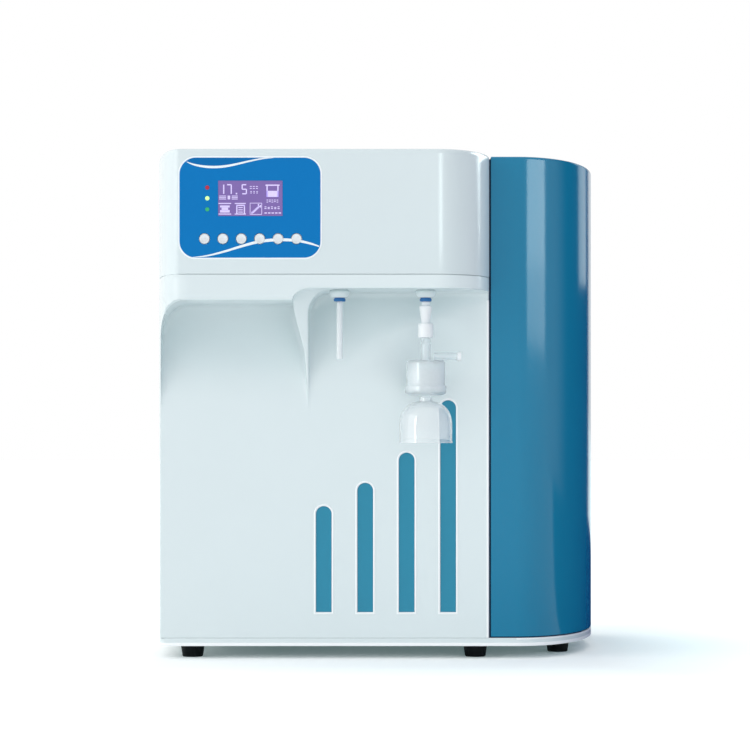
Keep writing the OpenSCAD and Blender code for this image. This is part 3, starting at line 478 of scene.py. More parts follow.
def skin(x):
    """Depth of the outer skin behind the head's flat front, at x."""
    if x < LEFT + CORNER_W:
        s = min(1, (LEFT + CORNER_W - x) / CORNER_W)
        return CORNER_D * (1 - math.sqrt(max(0, 1 - s * s)))
    if x > NOSE_X:
        s = min(1, (x - NOSE_X) / NOSE_W)
        return NOSE_D * (1 - math.sqrt(max(0, 1 - s * s)))
    return 0.0


def sweep(z, top):
    """Depth of the swept edge of the cheek or rib, from 0 at its top to the lower panel."""
    s = (z - SWEEP_FOOT) / (top - SWEEP_FOOT)
    return REACH * math.sqrt(max(0, 1 - max(0, s) ** 2)) if s < 1 else 0.0


def smooth_max(a, b, k=2.0):
    """The larger of two depths, with the crease between them rounded."""
    h = max(k - abs(a - b), 0) / k
    return max(a, b) + h * h * k / 4


def lean_left(z):
    """Depth of the left niche's back: flush with the lower panel below, deeper above."""
    s = min(1, max(0, (z - (LEFT_CEILING - 12 - LEAN_RISE)) / LEAN_RISE))
    return REACH + NICHE_LEAN * (1 - math.cos(math.pi * s)) / 2


def lean_right(x, z):
    """Depth of the right niche's back: a slanting plane, and a shallow bowl in which the vent turns."""
    above = z - SLANT_Z - SLANT * (x - SLANT_X)
    if above < SLANT_SOFT:
        above = max(0, above + SLANT_SOFT) ** 2 / (4 * SLANT_SOFT)
    out = math.hypot((x - BOWL_X) / BOWL_W, (z - BOWL_Z) / BOWL_H)
    bowl = BOWL_D * (1 + math.cos(math.pi * min(1, out))) / 2
    return REACH + min(NICHE_LEAN, math.hypot(SLANT_LEAN * above, bowl))


def rib_left(z):
    """The rib's left edge at height z."""
    for (z1, w1), (z0, w0) in zip(RIB_WIDTHS, RIB_WIDTHS[1:]):
        if z >= z0:
            return RIB_RIGHT - w0 - (w1 - w0) * min(1, (z - z0) / (z1 - z0))


# An edge runs over these lines, from the front face to the niche's back. Each has its distance
# inside the niche, and how far its surface stands off the front (first four) or off the back.
ROUND = 1.3
COVE = 6.5
FRONT_LINES = [(-ROUND, 0.0), (-0.55 * ROUND, 0.165 * ROUND), (-0.16 * ROUND, 0.457 * ROUND), (0.0, ROUND)]
BACK_LINES = [(COVE * (1 - math.cos(math.radians(t))), COVE * (1 - math.sin(math.radians(t))))
              for t in (0, 22.5, 45, 67.5, 90)]
N_FRONT = len(FRONT_LINES)
INSIDE = N_FRONT + len(BACK_LINES)
OUTSIDE = -1
# The back lines lie this much deeper in a niche, so that no two lines coincide
STEP = 0.02
edge_rank = {offset: k for k, (offset, _) in enumerate(FRONT_LINES)}
edge_rank.update({offset + STEP: N_FRONT + k for k, (offset, _) in enumerate(BACK_LINES)})


def round_corner(u, v, x0, z0, rx, rz, left_room, top_room):
    """Moves a point of the square-cornered layout so that the upper left corner at x0, z0 is round."""
    across = u - x0 if u >= x0 else (u - x0) * top_room / left_room
    down = z0 - v
    n = min(across, down)
    t = max(across, down) - n
    size = max(0.0, 1 - n / max(rx, rz))
    if n < 0:
        size = max(0.0, 1 + n / top_room) ** 2 * (1 - 2 * n / top_room)
    a, b = rx * size, rz * size
    if across <= down:
        if b <= 0 or t >= b:
            return u, v
        turn = math.radians(45 * (1 - t / b))
        return u + a * (1 - math.cos(turn)), v - b + b * math.sin(turn) + t
    if a <= 0 or t >= a:
        return u, v
    turn = math.radians(45 + 45 * t / a)
    return u + a - a * math.cos(turn) - t, v - b + b * math.sin(turn)


# Columns: (kind, value). The slots lie between fixed columns.
front_offsets = [offset for offset, _ in FRONT_LINES]
edge_offsets = front_offsets + [offset + STEP for offset, _ in BACK_LINES]
CORNER_TURNS = (90, 87, 83, 79, 75, 71, 67, 63, 59.5)
SEAM_TURNS = (22.5, 45, 67.5, 90)
BAY_COLUMNS = 14
RIB_COLUMNS = 5
NOSE_COLUMNS = 18
# A slot's window in the grid reaches this far beside it, and this far above and below it. One more
# column stands between two windows, this far left of the next slot
WINDOW_HALF = 11
SLOT_MARGIN = 5
BETWEEN = 16
columns = [("fixed", LEFT + CORNER_W * (1 - math.sin(math.radians(turn)))) for turn in CORNER_TURNS]
columns += [("cheek", offset) for offset in edge_offsets]
columns += [("left_bay", k / BAY_COLUMNS) for k in range(1, BAY_COLUMNS)]
columns += [("rib_left", offset) for offset in reversed(edge_offsets)]
columns += [("rib", k / RIB_COLUMNS) for k in range(1, RIB_COLUMNS)]
columns += [("rib_right", offset) for offset in edge_offsets]
slot_columns = [(len(columns) - 3, len(columns) + 1)]
columns += [("fixed", RIB_RIGHT + COVE + 7), ("fixed", SLOT_X[0] + WINDOW_HALF)]
for x in SLOT_X[1:]:
    columns.append(("fixed", x - BETWEEN))
    slot_columns.append((len(columns), len(columns) + 3))
    columns += [("fixed", x + off) for off in (-WINDOW_HALF, -4, 4, WINDOW_HALF)]
nose = [NOSE_X + NOSE_W * math.sin(math.radians(NOSE_TURN * k / NOSE_COLUMNS))
        for k in range(1, NOSE_COLUMNS + 1)]
columns += [("fixed", x) for x in nose if x > SLOT_X[-1] + WINDOW_HALF + 2]
columns += [("seam", turn) for turn in SEAM_TURNS]

# Rows: (height, zone, rank of the line)
BROW_LOW = CEILING - 0.2
ROW_PITCH = 3.4
rows = [(height, "above", OUTSIDE) for height in (fascia_high.z, fascia_high.z - 0.6, 386, 382, 379.5)]
rows += [(CEILING - offset, "brow", k) for k, offset in enumerate(front_offsets)]
rows += [(BROW_LOW, "right_edge", k) for k in range(N_FRONT)]
rows += [(BROW_LOW - STEP - offset, "right_cove", N_FRONT + k) for k, (offset, _) in enumerate(BACK_LINES)]
rows += [(LEFT_CEILING - offset * 0.9, "left_edge", k) for k, offset in enumerate(front_offsets)]
rows += [(LEFT_CEILING - STEP - offset, "left_cove", N_FRONT + k) for k, (offset, _) in enumerate(BACK_LINES)]
low_heights = []
height = LEFT_CEILING - COVE
while height > SWEEP_FOOT + 28:
    height -= ROW_PITCH
    low_heights.append(height)
window_tops = [top + SLOT_MARGIN for top in SLOT_TOP]
window_low = SLOT_LOW - SLOT_MARGIN
low_heights += [265, 260, 255, 250, SWEEP_FOOT, 238, 228, 200, 172, 130, 90, 30]
low_heights += [fascia_low.z + 0.6, fascia_low.z]
low_heights = sorted(low_heights + window_tops + [window_low], reverse=True)
rows += [(height, "below", INSIDE) for height in low_heights]

# The brow's arc and the two niches' upper left corners: x, height, half-axes, room left and above
BROW = (RIB_RIGHT - RIB_WIDTHS[0][1], CEILING, 20, 12, 30, 11)
RIGHT_CORNER = (RIB_RIGHT, BROW_LOW, 24, 24, 14, 14)
LEFT_CORNER = (CHEEK_X, LEFT_CEILING, 27, 35, CHEEK, 14)


def fascia_point(column, row):
    """Where a column and a row of the grid meet: x, depth behind the head's front, height."""
    kind, value = column
    z, zone, rank = row
    over_niches = zone in ("above", "brow")
    above_left = over_niches or zone in ("right_edge", "right_cove")
    left_v = OUTSIDE if above_left else (rank if zone in ("left_edge", "left_cove") else INSIDE)
    right_v = OUTSIDE if over_niches else (rank if above_left else INSIDE)
    edge = rib_left(z)
    room = max(0.15, min(1, (RIB_RIGHT - edge) / (3.4 * ROUND)))
    x = value
    left_u = right_u = OUTSIDE
    in_rib = False
    extra = 0.0
    if kind == "cheek":
        x = CHEEK_X + value
        left_u = edge_rank[value]
    elif kind == "left_bay":
        start = CHEEK_X + COVE
        x = start + (edge - COVE - start) * value
        left_u = INSIDE
    elif kind == "rib_left":
        x = edge - (value if value > 0 else value * room)
        left_u = edge_rank[value]
        in_rib = left_u < N_FRONT
    elif kind == "rib":
        x = edge + ROUND * room + (RIB_RIGHT - edge - 2 * ROUND * room) * value
        in_rib = True
    elif kind == "rib_right":
        x = RIB_RIGHT + (value if value > 0 else value * room)
        right_u = edge_rank[value]
        in_rib = True
    elif kind == "seam":
        x = SEAM - SEAM_EDGE * (1 - math.sin(math.radians(value)))
        extra = SEAM_EDGE * (1 - math.cos(math.radians(value)))
    if x > RIB_RIGHT and kind in ("fixed", "seam"):
        right_u = INSIDE
        in_rib = True
    # The brow's arc, then the right niche's corner, then the left niche's corner
    px, pz = x, z
    if over_niches or x > BROW[0] - 40:
        px, pz = round_corner(x, z, *BROW)
        if not over_niches and (kind in ("rib", "rib_right") or x > RIB_RIGHT):
            share = value * value * (3 - 2 * value) if kind == "rib" else 1
            nx, nz = round_corner(x, z, *RIGHT_CORNER)
            px, pz = px + (nx - px) * share, pz + (nz - pz) * share
    if kind in ("fixed", "cheek", "left_bay") and x < BROW[0] - 30:
        px, pz = round_corner(x, z, *LEFT_CORNER)
    if zone == "right_edge" and in_rib:
        brow_z = round_corner(x, CEILING, *BROW)[1]
        pz = brow_z + (pz - brow_z) * (rank + 1) / N_FRONT - STEP * rank
    face = skin(px)
    if in_rib and not over_niches:
        front = smooth_max(face, sweep(pz, CEILING))
    elif in_rib and zone == "brow":
        front = face + FRONT_LINES[rank][1] * 0.5
    elif not above_left:
        front = smooth_max(face, sweep(pz, LEFT_CEILING))
    else:
        front = face
    left_rank = min(left_u, left_v)
    right_rank = min(right_u, right_v)
    rank = max(left_rank, right_rank)
    if rank <= OUTSIDE:
        return px, front + extra, pz
    back = max(front, lean_left(pz) if left_rank >= right_rank else lean_right(px, pz))
    share = min(1, (back - front) / (ROUND + COVE))
    if rank < N_FRONT:
        depth = front + FRONT_LINES[rank][1] * share
    elif rank < INSIDE:
        depth = back - BACK_LINES[rank - N_FRONT][1] * share
    else:
        depth = back
    return px, depth + extra, pz


grid = [[fascia_point(c, r) for c in columns] for r in rows]
for line in grid:
    x, depth, z = line[-1]
    line += [(SEAM, depth + 4, z), (SEAM, CORNER_D - 3, z), (SEAM, CORNER_D, z)]
width = len(grid[0])
verts = [(x, FACE_Y + depth, z) for line in grid for x, depth, z in line]


def slot_outline(x, top, grow, depth):
    """A slot's outline, counterclockwise from the front, with a square foot and a round top."""
    half = SLOT_HALF + grow
    curve = arc(x, top - SLOT_HALF, half, half, 0, 180, 24)
    return [(px, PANEL_Y + depth, pz) for px, pz in
            [(x - half, SLOT_LOW - grow), (x, SLOT_LOW - grow), (x + half, SLOT_LOW - grow)] + curve]


def front_filled(loops):
    """Triangles between an outline and its holes, facing the front, as indices into all the loops."""
    points = [Vector(p) for loop in loops for p in loop]
    faces = []
    for a, b, c in tessellate_polygon([[Vector((p[0], p[2], 0)) for p in loop] for loop in loops]):
        normal = (points[b] - points[a]).cross(points[c] - points[a])
        faces.append((a, b, c) if normal.y < 0 else (a, c, b))
    return faces


def join(parts):
    """Several shapes as one."""
    verts, faces = [], []
    for part_verts, part_faces in parts:
        first = len(verts)
        verts += part_verts
        faces += [tuple(first + v for v in face) for face in part_faces]
    return verts, faces


def used_only(verts, faces):
    """The same shape without the vertices that no face uses."""
    used = sorted({v for face in faces for v in face})
    renumbered = {v: k for k, v in enumerate(used)}
    return [verts[v] for v in used], [tuple(renumbered[v] for v in face) for face in faces]


row_heights = [row[0] for row in rows]
slot_windows = [(row_heights.index(top), row_heights.index(window_low), first, last)
                for top, (first, last) in zip(window_tops, slot_columns)]
faces = []
for r in range(len(grid) - 1):
    for c in range(width - 1):
        if any(r0 <= r < r1 and c0 <= c < c1 for r0, r1, c0, c1 in slot_windows):
            continue
        a = r * width + c
        faces.append((a, a + width, a + width + 1, a + 1))
# Each slot has a rounded lip: how far outside the slot each of its lines runs, and how deep
SLOT_LIP = [(1.5, 0.0), (0.85, 0.14), (0.3, 0.55), (0.0, 1.3), (0.0, 3.0)]
for (r0, r1, c0, c1), x, top in zip(slot_windows, SLOT_X, SLOT_TOP):
    border = ([r * width + c0 for r in range(r0, r1)] + [r1 * width + c for c in range(c0, c1)]
              + [r * width + c1 for r in range(r1, r0, -1)] + [r0 * width + c for c in range(c1, c0, -1)])
    lip = [slot_outline(x, top, *line) for line in SLOT_LIP]
    ids = border + [len(verts) + i for i in range(len(lip[0]))]
    faces += [tuple(ids[v] for v in face) for face in front_filled([[verts[v] for v in border], lip[0]])]
    verts, faces = join([(verts, faces), hoop(lip)])
verts, faces = used_only(verts, faces)
fascia = piece("fascia_moulding", (verts, faces), white_abs, "front_fascia", crease=50)
fascia_things.objects.link(fascia)

# A slim raised bead runs round each slot; its brighter white is a painted highlight on the slot's rim
SLOT_BEAD = [(2.2, 0.05), (1.9, -0.3), (1.3, -0.45), (0.6, -0.3), (0.05, 0.3), (0.02, 1.0)]
beads = [hoop([slot_outline(x, top, *line) for line in SLOT_BEAD]) for x, top in zip(SLOT_X, SLOT_TOP)]
piece("slot_highlight_beads", join(beads), highlight_white, crease=60)
# A bead of the same painted highlight runs up the upright edge beside the cover: distances left of the seam,
# and behind the panel's front
SEAM_BEAD = [(2.5, 0.05), (2.2, -0.25), (1.2, -0.35), (0.4, 0.05), (0.02, 0.8), (0.02, 6)]
bead = [[(SEAM - x, PANEL_Y + y, z) for x, y in SEAM_BEAD] for z in (fascia_low.z, CEILING - 9)]
piece("seam_highlight_bead", band(bead), highlight_white, crease=60)

# ---- Slot insert ----
# One teal moulding behind the fascia. Its four fingers fill the slots, a little below the surface.

teal = moulded("teal_insert", linear(40, 138, 168), 0.34, grain=0.6, depth=0.02, drift=0.03, level=0.3)
dress(teal, "slot_insert")

# ---- Side and rear panels ----
# Folded steel sheet with a fine white powder coat, and the plated sheet between works and bay.

powder_coat = moulded("powder_coat", linear(216, 230, 232), 0.45, grain=0.9, depth=0.05, drift=0.02,
                      level=0.35)
dress(powder_coat, "left_panel", "rear_panel")
dress(zinc, "partition_panel", "panel_screws")

# ---- Head cover ----
# The upper white shell. Its front is flat between the left corner and the curved nose at the seam,
# its upper edge is rounded all round, and holes behind the overlay let keys and lamps through.

head_low, head_high = mm_box("head_cover")
TOP_EDGE = 5
WALL = 3
OVERLAY_W = 141
OVERLAY_H = 100
OVERLAY_X = LEFT + CORNER_W
OVERLAY_Z = head_high.z - 9.4 - OVERLAY_H
# The display's place and size, then the keys and the lamps, all from the overlay's lower left corner
DISPLAY = (OVERLAY_X + 38.6, OVERLAY_Z + 41.6, 64.5, 35.5)
KEYS = 6
KEY_R = 5.35
KEY_X = [OVERLAY_X + 25 + 18.4 * k for k in range(KEYS)]
KEY_Z = OVERLAY_Z + 18.9
LAMP_R = 2
LAMP_X = OVERLAY_X + 27.8
LAMP_Z = [OVERLAY_Z + z for z in (48.3, 59.4, 70.1)]
NOSE_STEPS = 30
CORNER_STEPS = 40


def head_outline(inset):
    nose_end = 270 + math.degrees(math.asin((SEAM - inset - NOSE_X) / (NOSE_W - inset)))
    return ([(LEFT + inset, REAR_Y)]
            + arc(LEFT + CORNER_W, FACE_Y + CORNER_D, CORNER_W - inset, CORNER_D - inset,
                  180, 270, CORNER_STEPS)
            + arc(NOSE_X, FACE_Y + NOSE_D, NOSE_W - inset, NOSE_D - inset, 270, nose_end, NOSE_STEPS)
            + [(SEAM - inset, REAR_Y)])


def ring_points(x, z, r, y, steps=28):
    return [(px, y, pz) for px, pz in arc(x, z, r, r, 0, 360, steps)[:-1]]


def box_loop(x, z, w, h, y):
    return [(x, y, z), (x + w, y, z), (x + w, y, z + h), (x, y, z + h)]


def panel_holes(grow, y):
    """The outlines of the display, key and lamp holes at depth y."""
    dx, dz, dw, dh = DISPLAY
    return ([box_loop(dx - grow, dz - grow, dw + 2 * grow, dh + 2 * grow, y)]
            + [ring_points(x, KEY_Z, KEY_R + 0.3, y) for x in KEY_X]
            + [ring_points(LAMP_X, z, LAMP_R + 0.15, y) for z in LAMP_Z])


def upper_edge(r, z, steps):
    """Levels that round an outline's upper edge, which is at height z."""
    turns = [math.radians(90 * k / steps) for k in range(steps + 1)]
    return [(r * (1 - math.cos(t)), z - r * (1 - math.sin(t))) for t in turns]


LOWER_LEVELS = [(WALL, head_low.z)] + lower_edge(0.6, head_low.z, 3)
rings = rings_of(head_outline, LOWER_LEVELS + upper_edge(TOP_EDGE, head_high.z, 8))
verts, faces = stack(rings, cap_low=False)
# The flat part of the front is one tall face. It gives way to one with holes for the overlay's parts
low_left = (len(LOWER_LEVELS) - 1) * len(rings[0]) + CORNER_STEPS + 1
high_left = low_left + len(rings[0])
ids = [low_left, low_left + 1, high_left + 1, high_left]
faces.remove(tuple(ids))
loops = [[verts[v] for v in ids]]
for hole, inner in zip(panel_holes(1, FACE_Y), panel_holes(1, FACE_Y + WALL)):
    loops.append(hole)
    ids += [len(verts) + len(hole) + i for i in range(len(hole))]
    verts, faces = join([(verts, faces), hoop([inner, hole])])
faces += [tuple(ids[v] for v in face) for face in front_filled(loops)]
head_shell = piece("head_shell", (verts, faces), white_abs, "head_cover", crease=40)
# The fascia's tongue closes the joint from behind
TONGUE = 0.9
levels = [(TONGUE, fascia_high.z - 1.5), (TONGUE, head_low.z - 0.05)]
head_tongue = piece("joint_tongue", band(rings_of(head_outline, levels)), white_abs)
housing_things.objects.link(head_shell)
for made in (head_shell, head_tongue, fascia):
    corner_things.objects.link(made)

# ---- Control panel ----
# A printed polyester overlay with a white border and two white curved lines. Behind it sit the
# display module and the control board, and six bare metallic keys and three lamps come through it.

overlay_ink = moulded("overlay_ink", linear(4, 119, 189), 0.45, grain=0.4, depth=0.006, drift=0.02, level=0.1)
deep_ink = moulded("deep_ink", linear(2, 108, 176), 0.45, grain=0.4, depth=0.006, drift=0.02, level=0.1)
white_ink = moulded("white_ink", linear(240, 250, 252), 0.38, grain=0.4, depth=0.01, drift=0.01, level=0.25)
# The overlay is a sheet of this thickness on the head, and what is printed on it this thick
OVERLAY_THICK = 0.4
INK = 0.03
INK_Y = FACE_Y - OVERLAY_THICK
OVERLAY_R = 16.5
BORDER = 1.6
BORDER_THICK = 0.25


def overlay_outline(grow, y, steps):
    """The overlay's round-cornered outline moved outwards by grow, counterclockwise from the front."""
    r = OVERLAY_R + grow
    left, right = OVERLAY_X + OVERLAY_R, OVERLAY_X + OVERLAY_W - OVERLAY_R
    low, high = OVERLAY_Z + OVERLAY_R, OVERLAY_Z + OVERLAY_H - OVERLAY_R
    loop = []
    for x, z, start in ((right, low, 270), (right, high, 0), (left, high, 90), (left, low, 180)):
        loop += [(px, y, pz) for px, pz in arc(x, z, r, r, start, start + 90, steps)]
    return loop


def sheet(name, loops, thick, look, stands_for=None):
    """A printed sheet facing the front: the first loop is its outline, the others are holes."""
    verts, faces, ids = [], [], []
    for loop in loops:
        first = len(verts)
        m = len(loop)
        ids += list(range(first, first + m))
        verts += loop + [(x, y + thick, z) for x, y, z in loop]
        for i in range(m):
            j = (i + 1) % m
            side = (first + i, first + m + i, first + m + j, first + j)
            faces.append(side if loop is not loops[0] else side[::-1])
    faces += [(ids[a], ids[b], ids[c]) for a, b, c in front_filled(loops)]
    return piece(name, (verts, faces), look, stands_for)


sheet("overlay_sheet", [overlay_outline(0, INK_Y, 10)] + panel_holes(0, INK_Y), OVERLAY_THICK, overlay_ink,
      "control_overlay")
sheet("overlay_border", [overlay_outline(grow, FACE_Y - BORDER_THICK, 16) for grow in (BORDER, 0)],
      BORDER_THICK, white_ink)


def spline(points, steps=8):
    """A smooth line through the points."""
    ends = [points[0]] + points + [points[-1]]
    line = []
    for near in zip(ends, ends[1:], ends[2:], ends[3:]):
        for t in (k / steps for k in range(steps)):
            line.append(tuple(b + ((c - a) * t + (2 * a - 5 * b + 4 * c - d) * t * t
                                   + (3 * b - a - 3 * c + d) * t ** 3) / 2 for a, b, c, d in zip(*near)))
    return line + [points[-1]]


def ribbon(name, line, look):
    """A printed line that lies on the overlay, along points of (x, z, width)."""
    upper, lower = [], []
    for k, (x, z, w) in enumerate(line):
        x0, z0, _ = line[max(0, k - 1)]
        x1, z1, _ = line[min(len(line) - 1, k + 1)]
        length = math.hypot(x1 - x0, z1 - z0)
        nx, nz = -(z1 - z0) / length, (x1 - x0) / length
        upper.append((x + nx * w / 2, INK_Y - 2 * INK, z + nz * w / 2))
        lower.append((x - nx * w / 2, INK_Y - 2 * INK, z - nz * w / 2))
    sheet(name, [lower + upper[::-1]], INK, look)


# Points of the two printed lines, from the overlay's lower left corner, with the line's width at each
UPPER_LINE = [(7.2, 95.8, 0.5), (14, 93.2, 1.6), (24, 91.2, 2.2), (36, 90.6, 2.4), (48, 91.7, 2.2),
              (60, 94.2, 1.9), (72, 97, 1.6), (84, 99.2, 1.2), (94, 99.9, 0.4)]
LOWER_LINE = [(13, 0.3, 0.4), (28, 2.0, 1.4), (45, 6.2, 2), (62, 11.4, 2.4), (76, 15.2, 2.7), (90, 17.4, 2.9),
              (104, 17.9, 2.9), (118, 16.9, 2.6), (130, 14.4, 2.1), (139.6, 11.3, 1.2)]
upper_line, lower_line = (spline([(OVERLAY_X + x, OVERLAY_Z + z, w) for x, z, w in line])
                          for line in (UPPER_LINE, LOWER_LINE))
ribbon("upper_line", upper_line, white_ink)
ribbon("lower_line", lower_line, white_ink)

# A darker field outside the upper line
corner = arc(OVERLAY_X + OVERLAY_R, OVERLAY_Z + OVERLAY_H - OVERLAY_R, OVERLAY_R, OVERLAY_R, 90, 126, 8)
field = [(x, INK_Y - INK, z) for x, z in [point[:2] for point in upper_line] + corner]
sheet("upper_field", [field], INK, deep_ink)


def shining(name, colour, strength, rough=0.25):
    """A moulded part that is lit from behind, a little unevenly."""
    look = moulded(name, colour, rough, grain=0.8, depth=0.01, drift=0.04, level=0.3)
    tree = look.node_tree
    shader = next(node for node in tree.nodes if node.type == "BSDF_PRINCIPLED")
    place = add(tree, "ShaderNodeTexCoord").outputs["Object"]
    level = ranged(tree, noise(tree, place, 40.0, 2.0), strength * 0.85, strength * 1.15)
    tree.links.new(level, shader.inputs["Emission Strength"])
    shader.inputs["Emission Color"].default_value = colour
    return look


lilac = shining("display_ground", linear(112, 92, 152), 0.35)
pale_lilac = shining("display_figures", linear(196, 186, 226), 0.4)
dress(lilac, "lcd_window")
board_green = moulded("board_green", linear(28, 92, 60), 0.4, grain=0.8, depth=0.03, drift=0.1)
dress(board_green, "lcd_module", "control_board")

# The display shows plain figures and simple pictures, as (x, z, width, height) in 128 by 64 dots
DOTS_ACROSS = 128
DOT = DISPLAY[2] / DOTS_ACROSS
FIGURE_THICK = 0.02
FIGURE_Y = INK_Y - 0.04
# The bars that make up each figure, and each bar's place in it
BARS = {"1": "bc", "5": "afgcd", "7": "abc"}
BAR_BOXES = {"a": (1, 18, 8, 2.4), "b": (8, 10, 2.4, 9.4), "c": (8, 1, 2.4, 9.4), "d": (1, 0, 8, 2.4),
             "f": (-0.4, 10, 2.4, 9.4), "g": (1, 9, 8, 2.4)}
dots = []
for figure, x in (("1", 2), ("7", 17), ("5", 47)):
    dots += [(x + bx, 41 + bz, w, h) for bx, bz, w, h in (BAR_BOXES[bar] for bar in BARS[figure])]
dots.append((35, 41, 3, 3))
for k in range(3):
    dots += [(x + 6 * k, z, w, 1.5) for x, z, w in ((63, 52, 4), (63, 56, 4), (64, 43, 3), (64, 46, 3))]
    dots += [(2, 31 + 3 * k, 14, 1.5), (27, 31 + 3 * k, 12, 1.5)]
dots.append((19, 31, 5, 7.5))
# Tank with its level, and rows of dashes under it
dots += [(94, 58, 28, 2.5), (96, 36, 2.5, 22), (117.5, 36, 2.5, 22), (96, 36, 24, 12)]
for k in range(5):
    dots += [(96 + 5 * k, 25 + (k % 2), 3.5, 1.5), (96 + 5 * k, 29, 3.5, 1.5), (92 + 6.5 * k, 12, 4, 1.8),
             (92 + 6.5 * k, 15.5 - (k % 2), 4, 1.5), (92 + 7 * k, 3, 5, 2.2)]
# Three square pictures: a pump, a list and a spanner
dots += [(1, 1, 25, 2), (1, 22, 25, 2), (4, 5, 19, 5), (7, 9, 13, 7), (4, 15, 19, 4)]
dots += [(33, 1, 22, 2), (33, 22, 22, 2), (36, 3, 2.5, 17), (51, 3, 2.5, 17), (36, 18, 17, 2.5)]
dots += [(40, 5 + 4.5 * k, 9, 1.8) for k in range(3)]
dots += [(63, 1, 1.2, 23), (86, 1, 1.2, 23), (63, 23, 24, 1.2), (63, 0.6, 24, 1.2)]
dots += [(67 + 2 * k, 4 + 1.9 * k, 4.5, 3) for k in range(7)]
dots += [(79, 17, 2.4, 5), (83, 15, 2.4, 5), (66, 2.5, 2.4, 4)]
bars = []
for x, z, w, h in dots:
    place = (DISPLAY[0] + x * DOT, DISPLAY[1] + 1 + z * DOT, w * DOT, h * DOT)
    bars.append(stack([box_loop(*place, FIGURE_Y + FIGURE_THICK), box_loop(*place, FIGURE_Y)], False))
piece("display_figures", join(bars), pale_lilac)

LAMPS = {"led_red": (linear(178, 40, 62), 0.12), "led_yellow": (linear(196, 246, 150), 0.55),
         "led_green": (linear(48, 168, 110), 0.22)}
for node, (colour, strength) in LAMPS.items():
    dress(shining(node + "_lens", colour, strength), node)


def turned(name, profile, centre, look, stands_for=None, body="chassis", axis="z", steps=72):
    """A ring turned from a closed profile of (radius, distance along the axis)."""
    verts, faces = [], []
    m = len(profile)
    for k in range(steps):
        t = 2 * math.pi * k / steps
        for r, d in profile:
            u, v = r * math.cos(t), r * math.sin(t)
            point = {"z": (u, v, d), "y": (u, d, -v), "x": (d, u, v)}[axis]
            verts.append(tuple(p + c for p, c in zip(point, centre)))
    for k in range(steps):
        a, b = k * m, (k + 1) % steps * m
        for i in range(m):
            j = (i + 1) % m
            quad = [a + i, b + i, b + j, a + j]
            if profile[i][0] == 0:
                quad.remove(b + i)
            if profile[j][0] == 0:
                quad.remove(b + j)
            if len(quad) > 2:
                faces.append(tuple(quad))
    return piece(name, used_only(verts, faces), look, stands_for, body)


key_metal = metal("key_metal", (0.72, 0.74, 0.77, 1), 0.5)
KEY_EDGE = 0.25
KEY_STEM_R = 2.2
KEY_FLANGE = (3.3, 5)
for k, x in enumerate(KEY_X, 1):
    node = "key_%d" % k
    low, high = mm_box(node)
    front, back = (FACE_Y + y - low.y for y in KEY_FLANGE)
    end = high.y - low.y
    # A shallow dish in the middle, a rounded edge, and a flange and stem behind the head's front
    cap = [(0, 0.12), (KEY_R - 1.8, 0.12), (KEY_R - 1.4, 0), (KEY_R - 0.9, 0), (KEY_R - 0.4, 0.12),
           (KEY_R - KEY_EDGE, 0.45), (KEY_R - KEY_EDGE, front), (KEY_R + 1.2, front), (KEY_R + 1.2, back),
           (KEY_STEM_R, back), (KEY_STEM_R, end), (0, end)]
    turned("key_cap_%d" % k, cap, (x, low.y, KEY_Z), key_metal, node, node, axis="y", steps=48)

# ---- Outlets ----
# Two white collars screwed into the niche's ceiling, each with a blue release collet. The left one
# holds a translucent tube. The right one holds the adapter and union ring of the capsule filter.

TUBE_R = 3.175
TUBE_BORE = 2.15
tube_low, tube_high = mm_box("outlet_tube")
TUBE_X = tube_low.x + TUBE_R
FILTER_X = TUBE_X + 87.1
OUTLET_Y = FACE_Y + 30
# The heights of the pieces that hang from the ceiling, one below the other
COLLAR_H = 8.2
COLLET_H = 3.8
ADAPTER_H = 21.5
RING_H = 15
STEM_H = 22.6
CAPSULE_H = 35.9
NECK_H = 5.3
COLLAR_LOW = CEILING - COLLAR_H
COLLET_LOW = COLLAR_LOW - COLLET_H
ADAPTER_LOW = COLLET_LOW - 0.3 - ADAPTER_H
RING_LOW = ADAPTER_LOW - RING_H
CAPSULE_LOW = RING_LOW - STEM_H - CAPSULE_H
SOCKET_R = 3.25
COLLET_R = 5.35
COLLAR_R = 10.5
SHANK_R = 7
# How far the shank reaches above the ceiling
SHANK_UP = WALL + 7

acetal = moulded("acetal", linear(238, 245, 247), 0.28, depth=0.01, drift=0.01, level=0.4)
collet_blue = moulded("collet_blue", linear(24, 104, 168), 0.3, depth=0.01, drift=0.04, level=0.4)

collar = ([(SOCKET_R, 7), (COLLET_R + 0.1, 7), (COLLET_R + 0.1, 0.3), (COLLET_R + 0.4, 0)]
          + arc(COLLET_R + 1.3, 4.8, COLLAR_R - COLLET_R - 1.3, 4.8, 280, 360, 14)
          + arc(SHANK_R, COLLAR_H - 3.4, COLLAR_R - SHANK_R, 3.4, 10, 90, 10)
          + [(SHANK_R, COLLAR_H + SHANK_UP), (SOCKET_R, COLLAR_H + SHANK_UP)])
collet = [(SOCKET_R + 0.2, 0), (SOCKET_R, 0.3), (SOCKET_R, COLLET_H + 5.5), (COLLET_R, COLLET_H + 5.5),
          (COLLET_R, COLLET_H - 1), (COLLET_R + 0.55, COLLET_H - 1), (COLLET_R + 0.7, COLLET_H - 1.2),
          (COLLET_R + 0.7, 0.8), (COLLET_R + 0.5, 0.2), (COLLET_R, 0)]
for side, x in (("left", TUBE_X), ("right", FILTER_X)):
    turned("collar_" + side, collar, (x, OUTLET_Y, COLLAR_LOW), white_abs,
           "nozzle_collars" if side == "left" else None, steps=96)
    node = "collet_" + side
    turned("collet_ring_" + side, collet, (x, OUTLET_Y, COLLET_LOW), collet_blue, node, node)
dress(acetal, "nozzle_nuts")


# Size in mm of the cloudy and uneven places in clear plastic
FLOW = 3


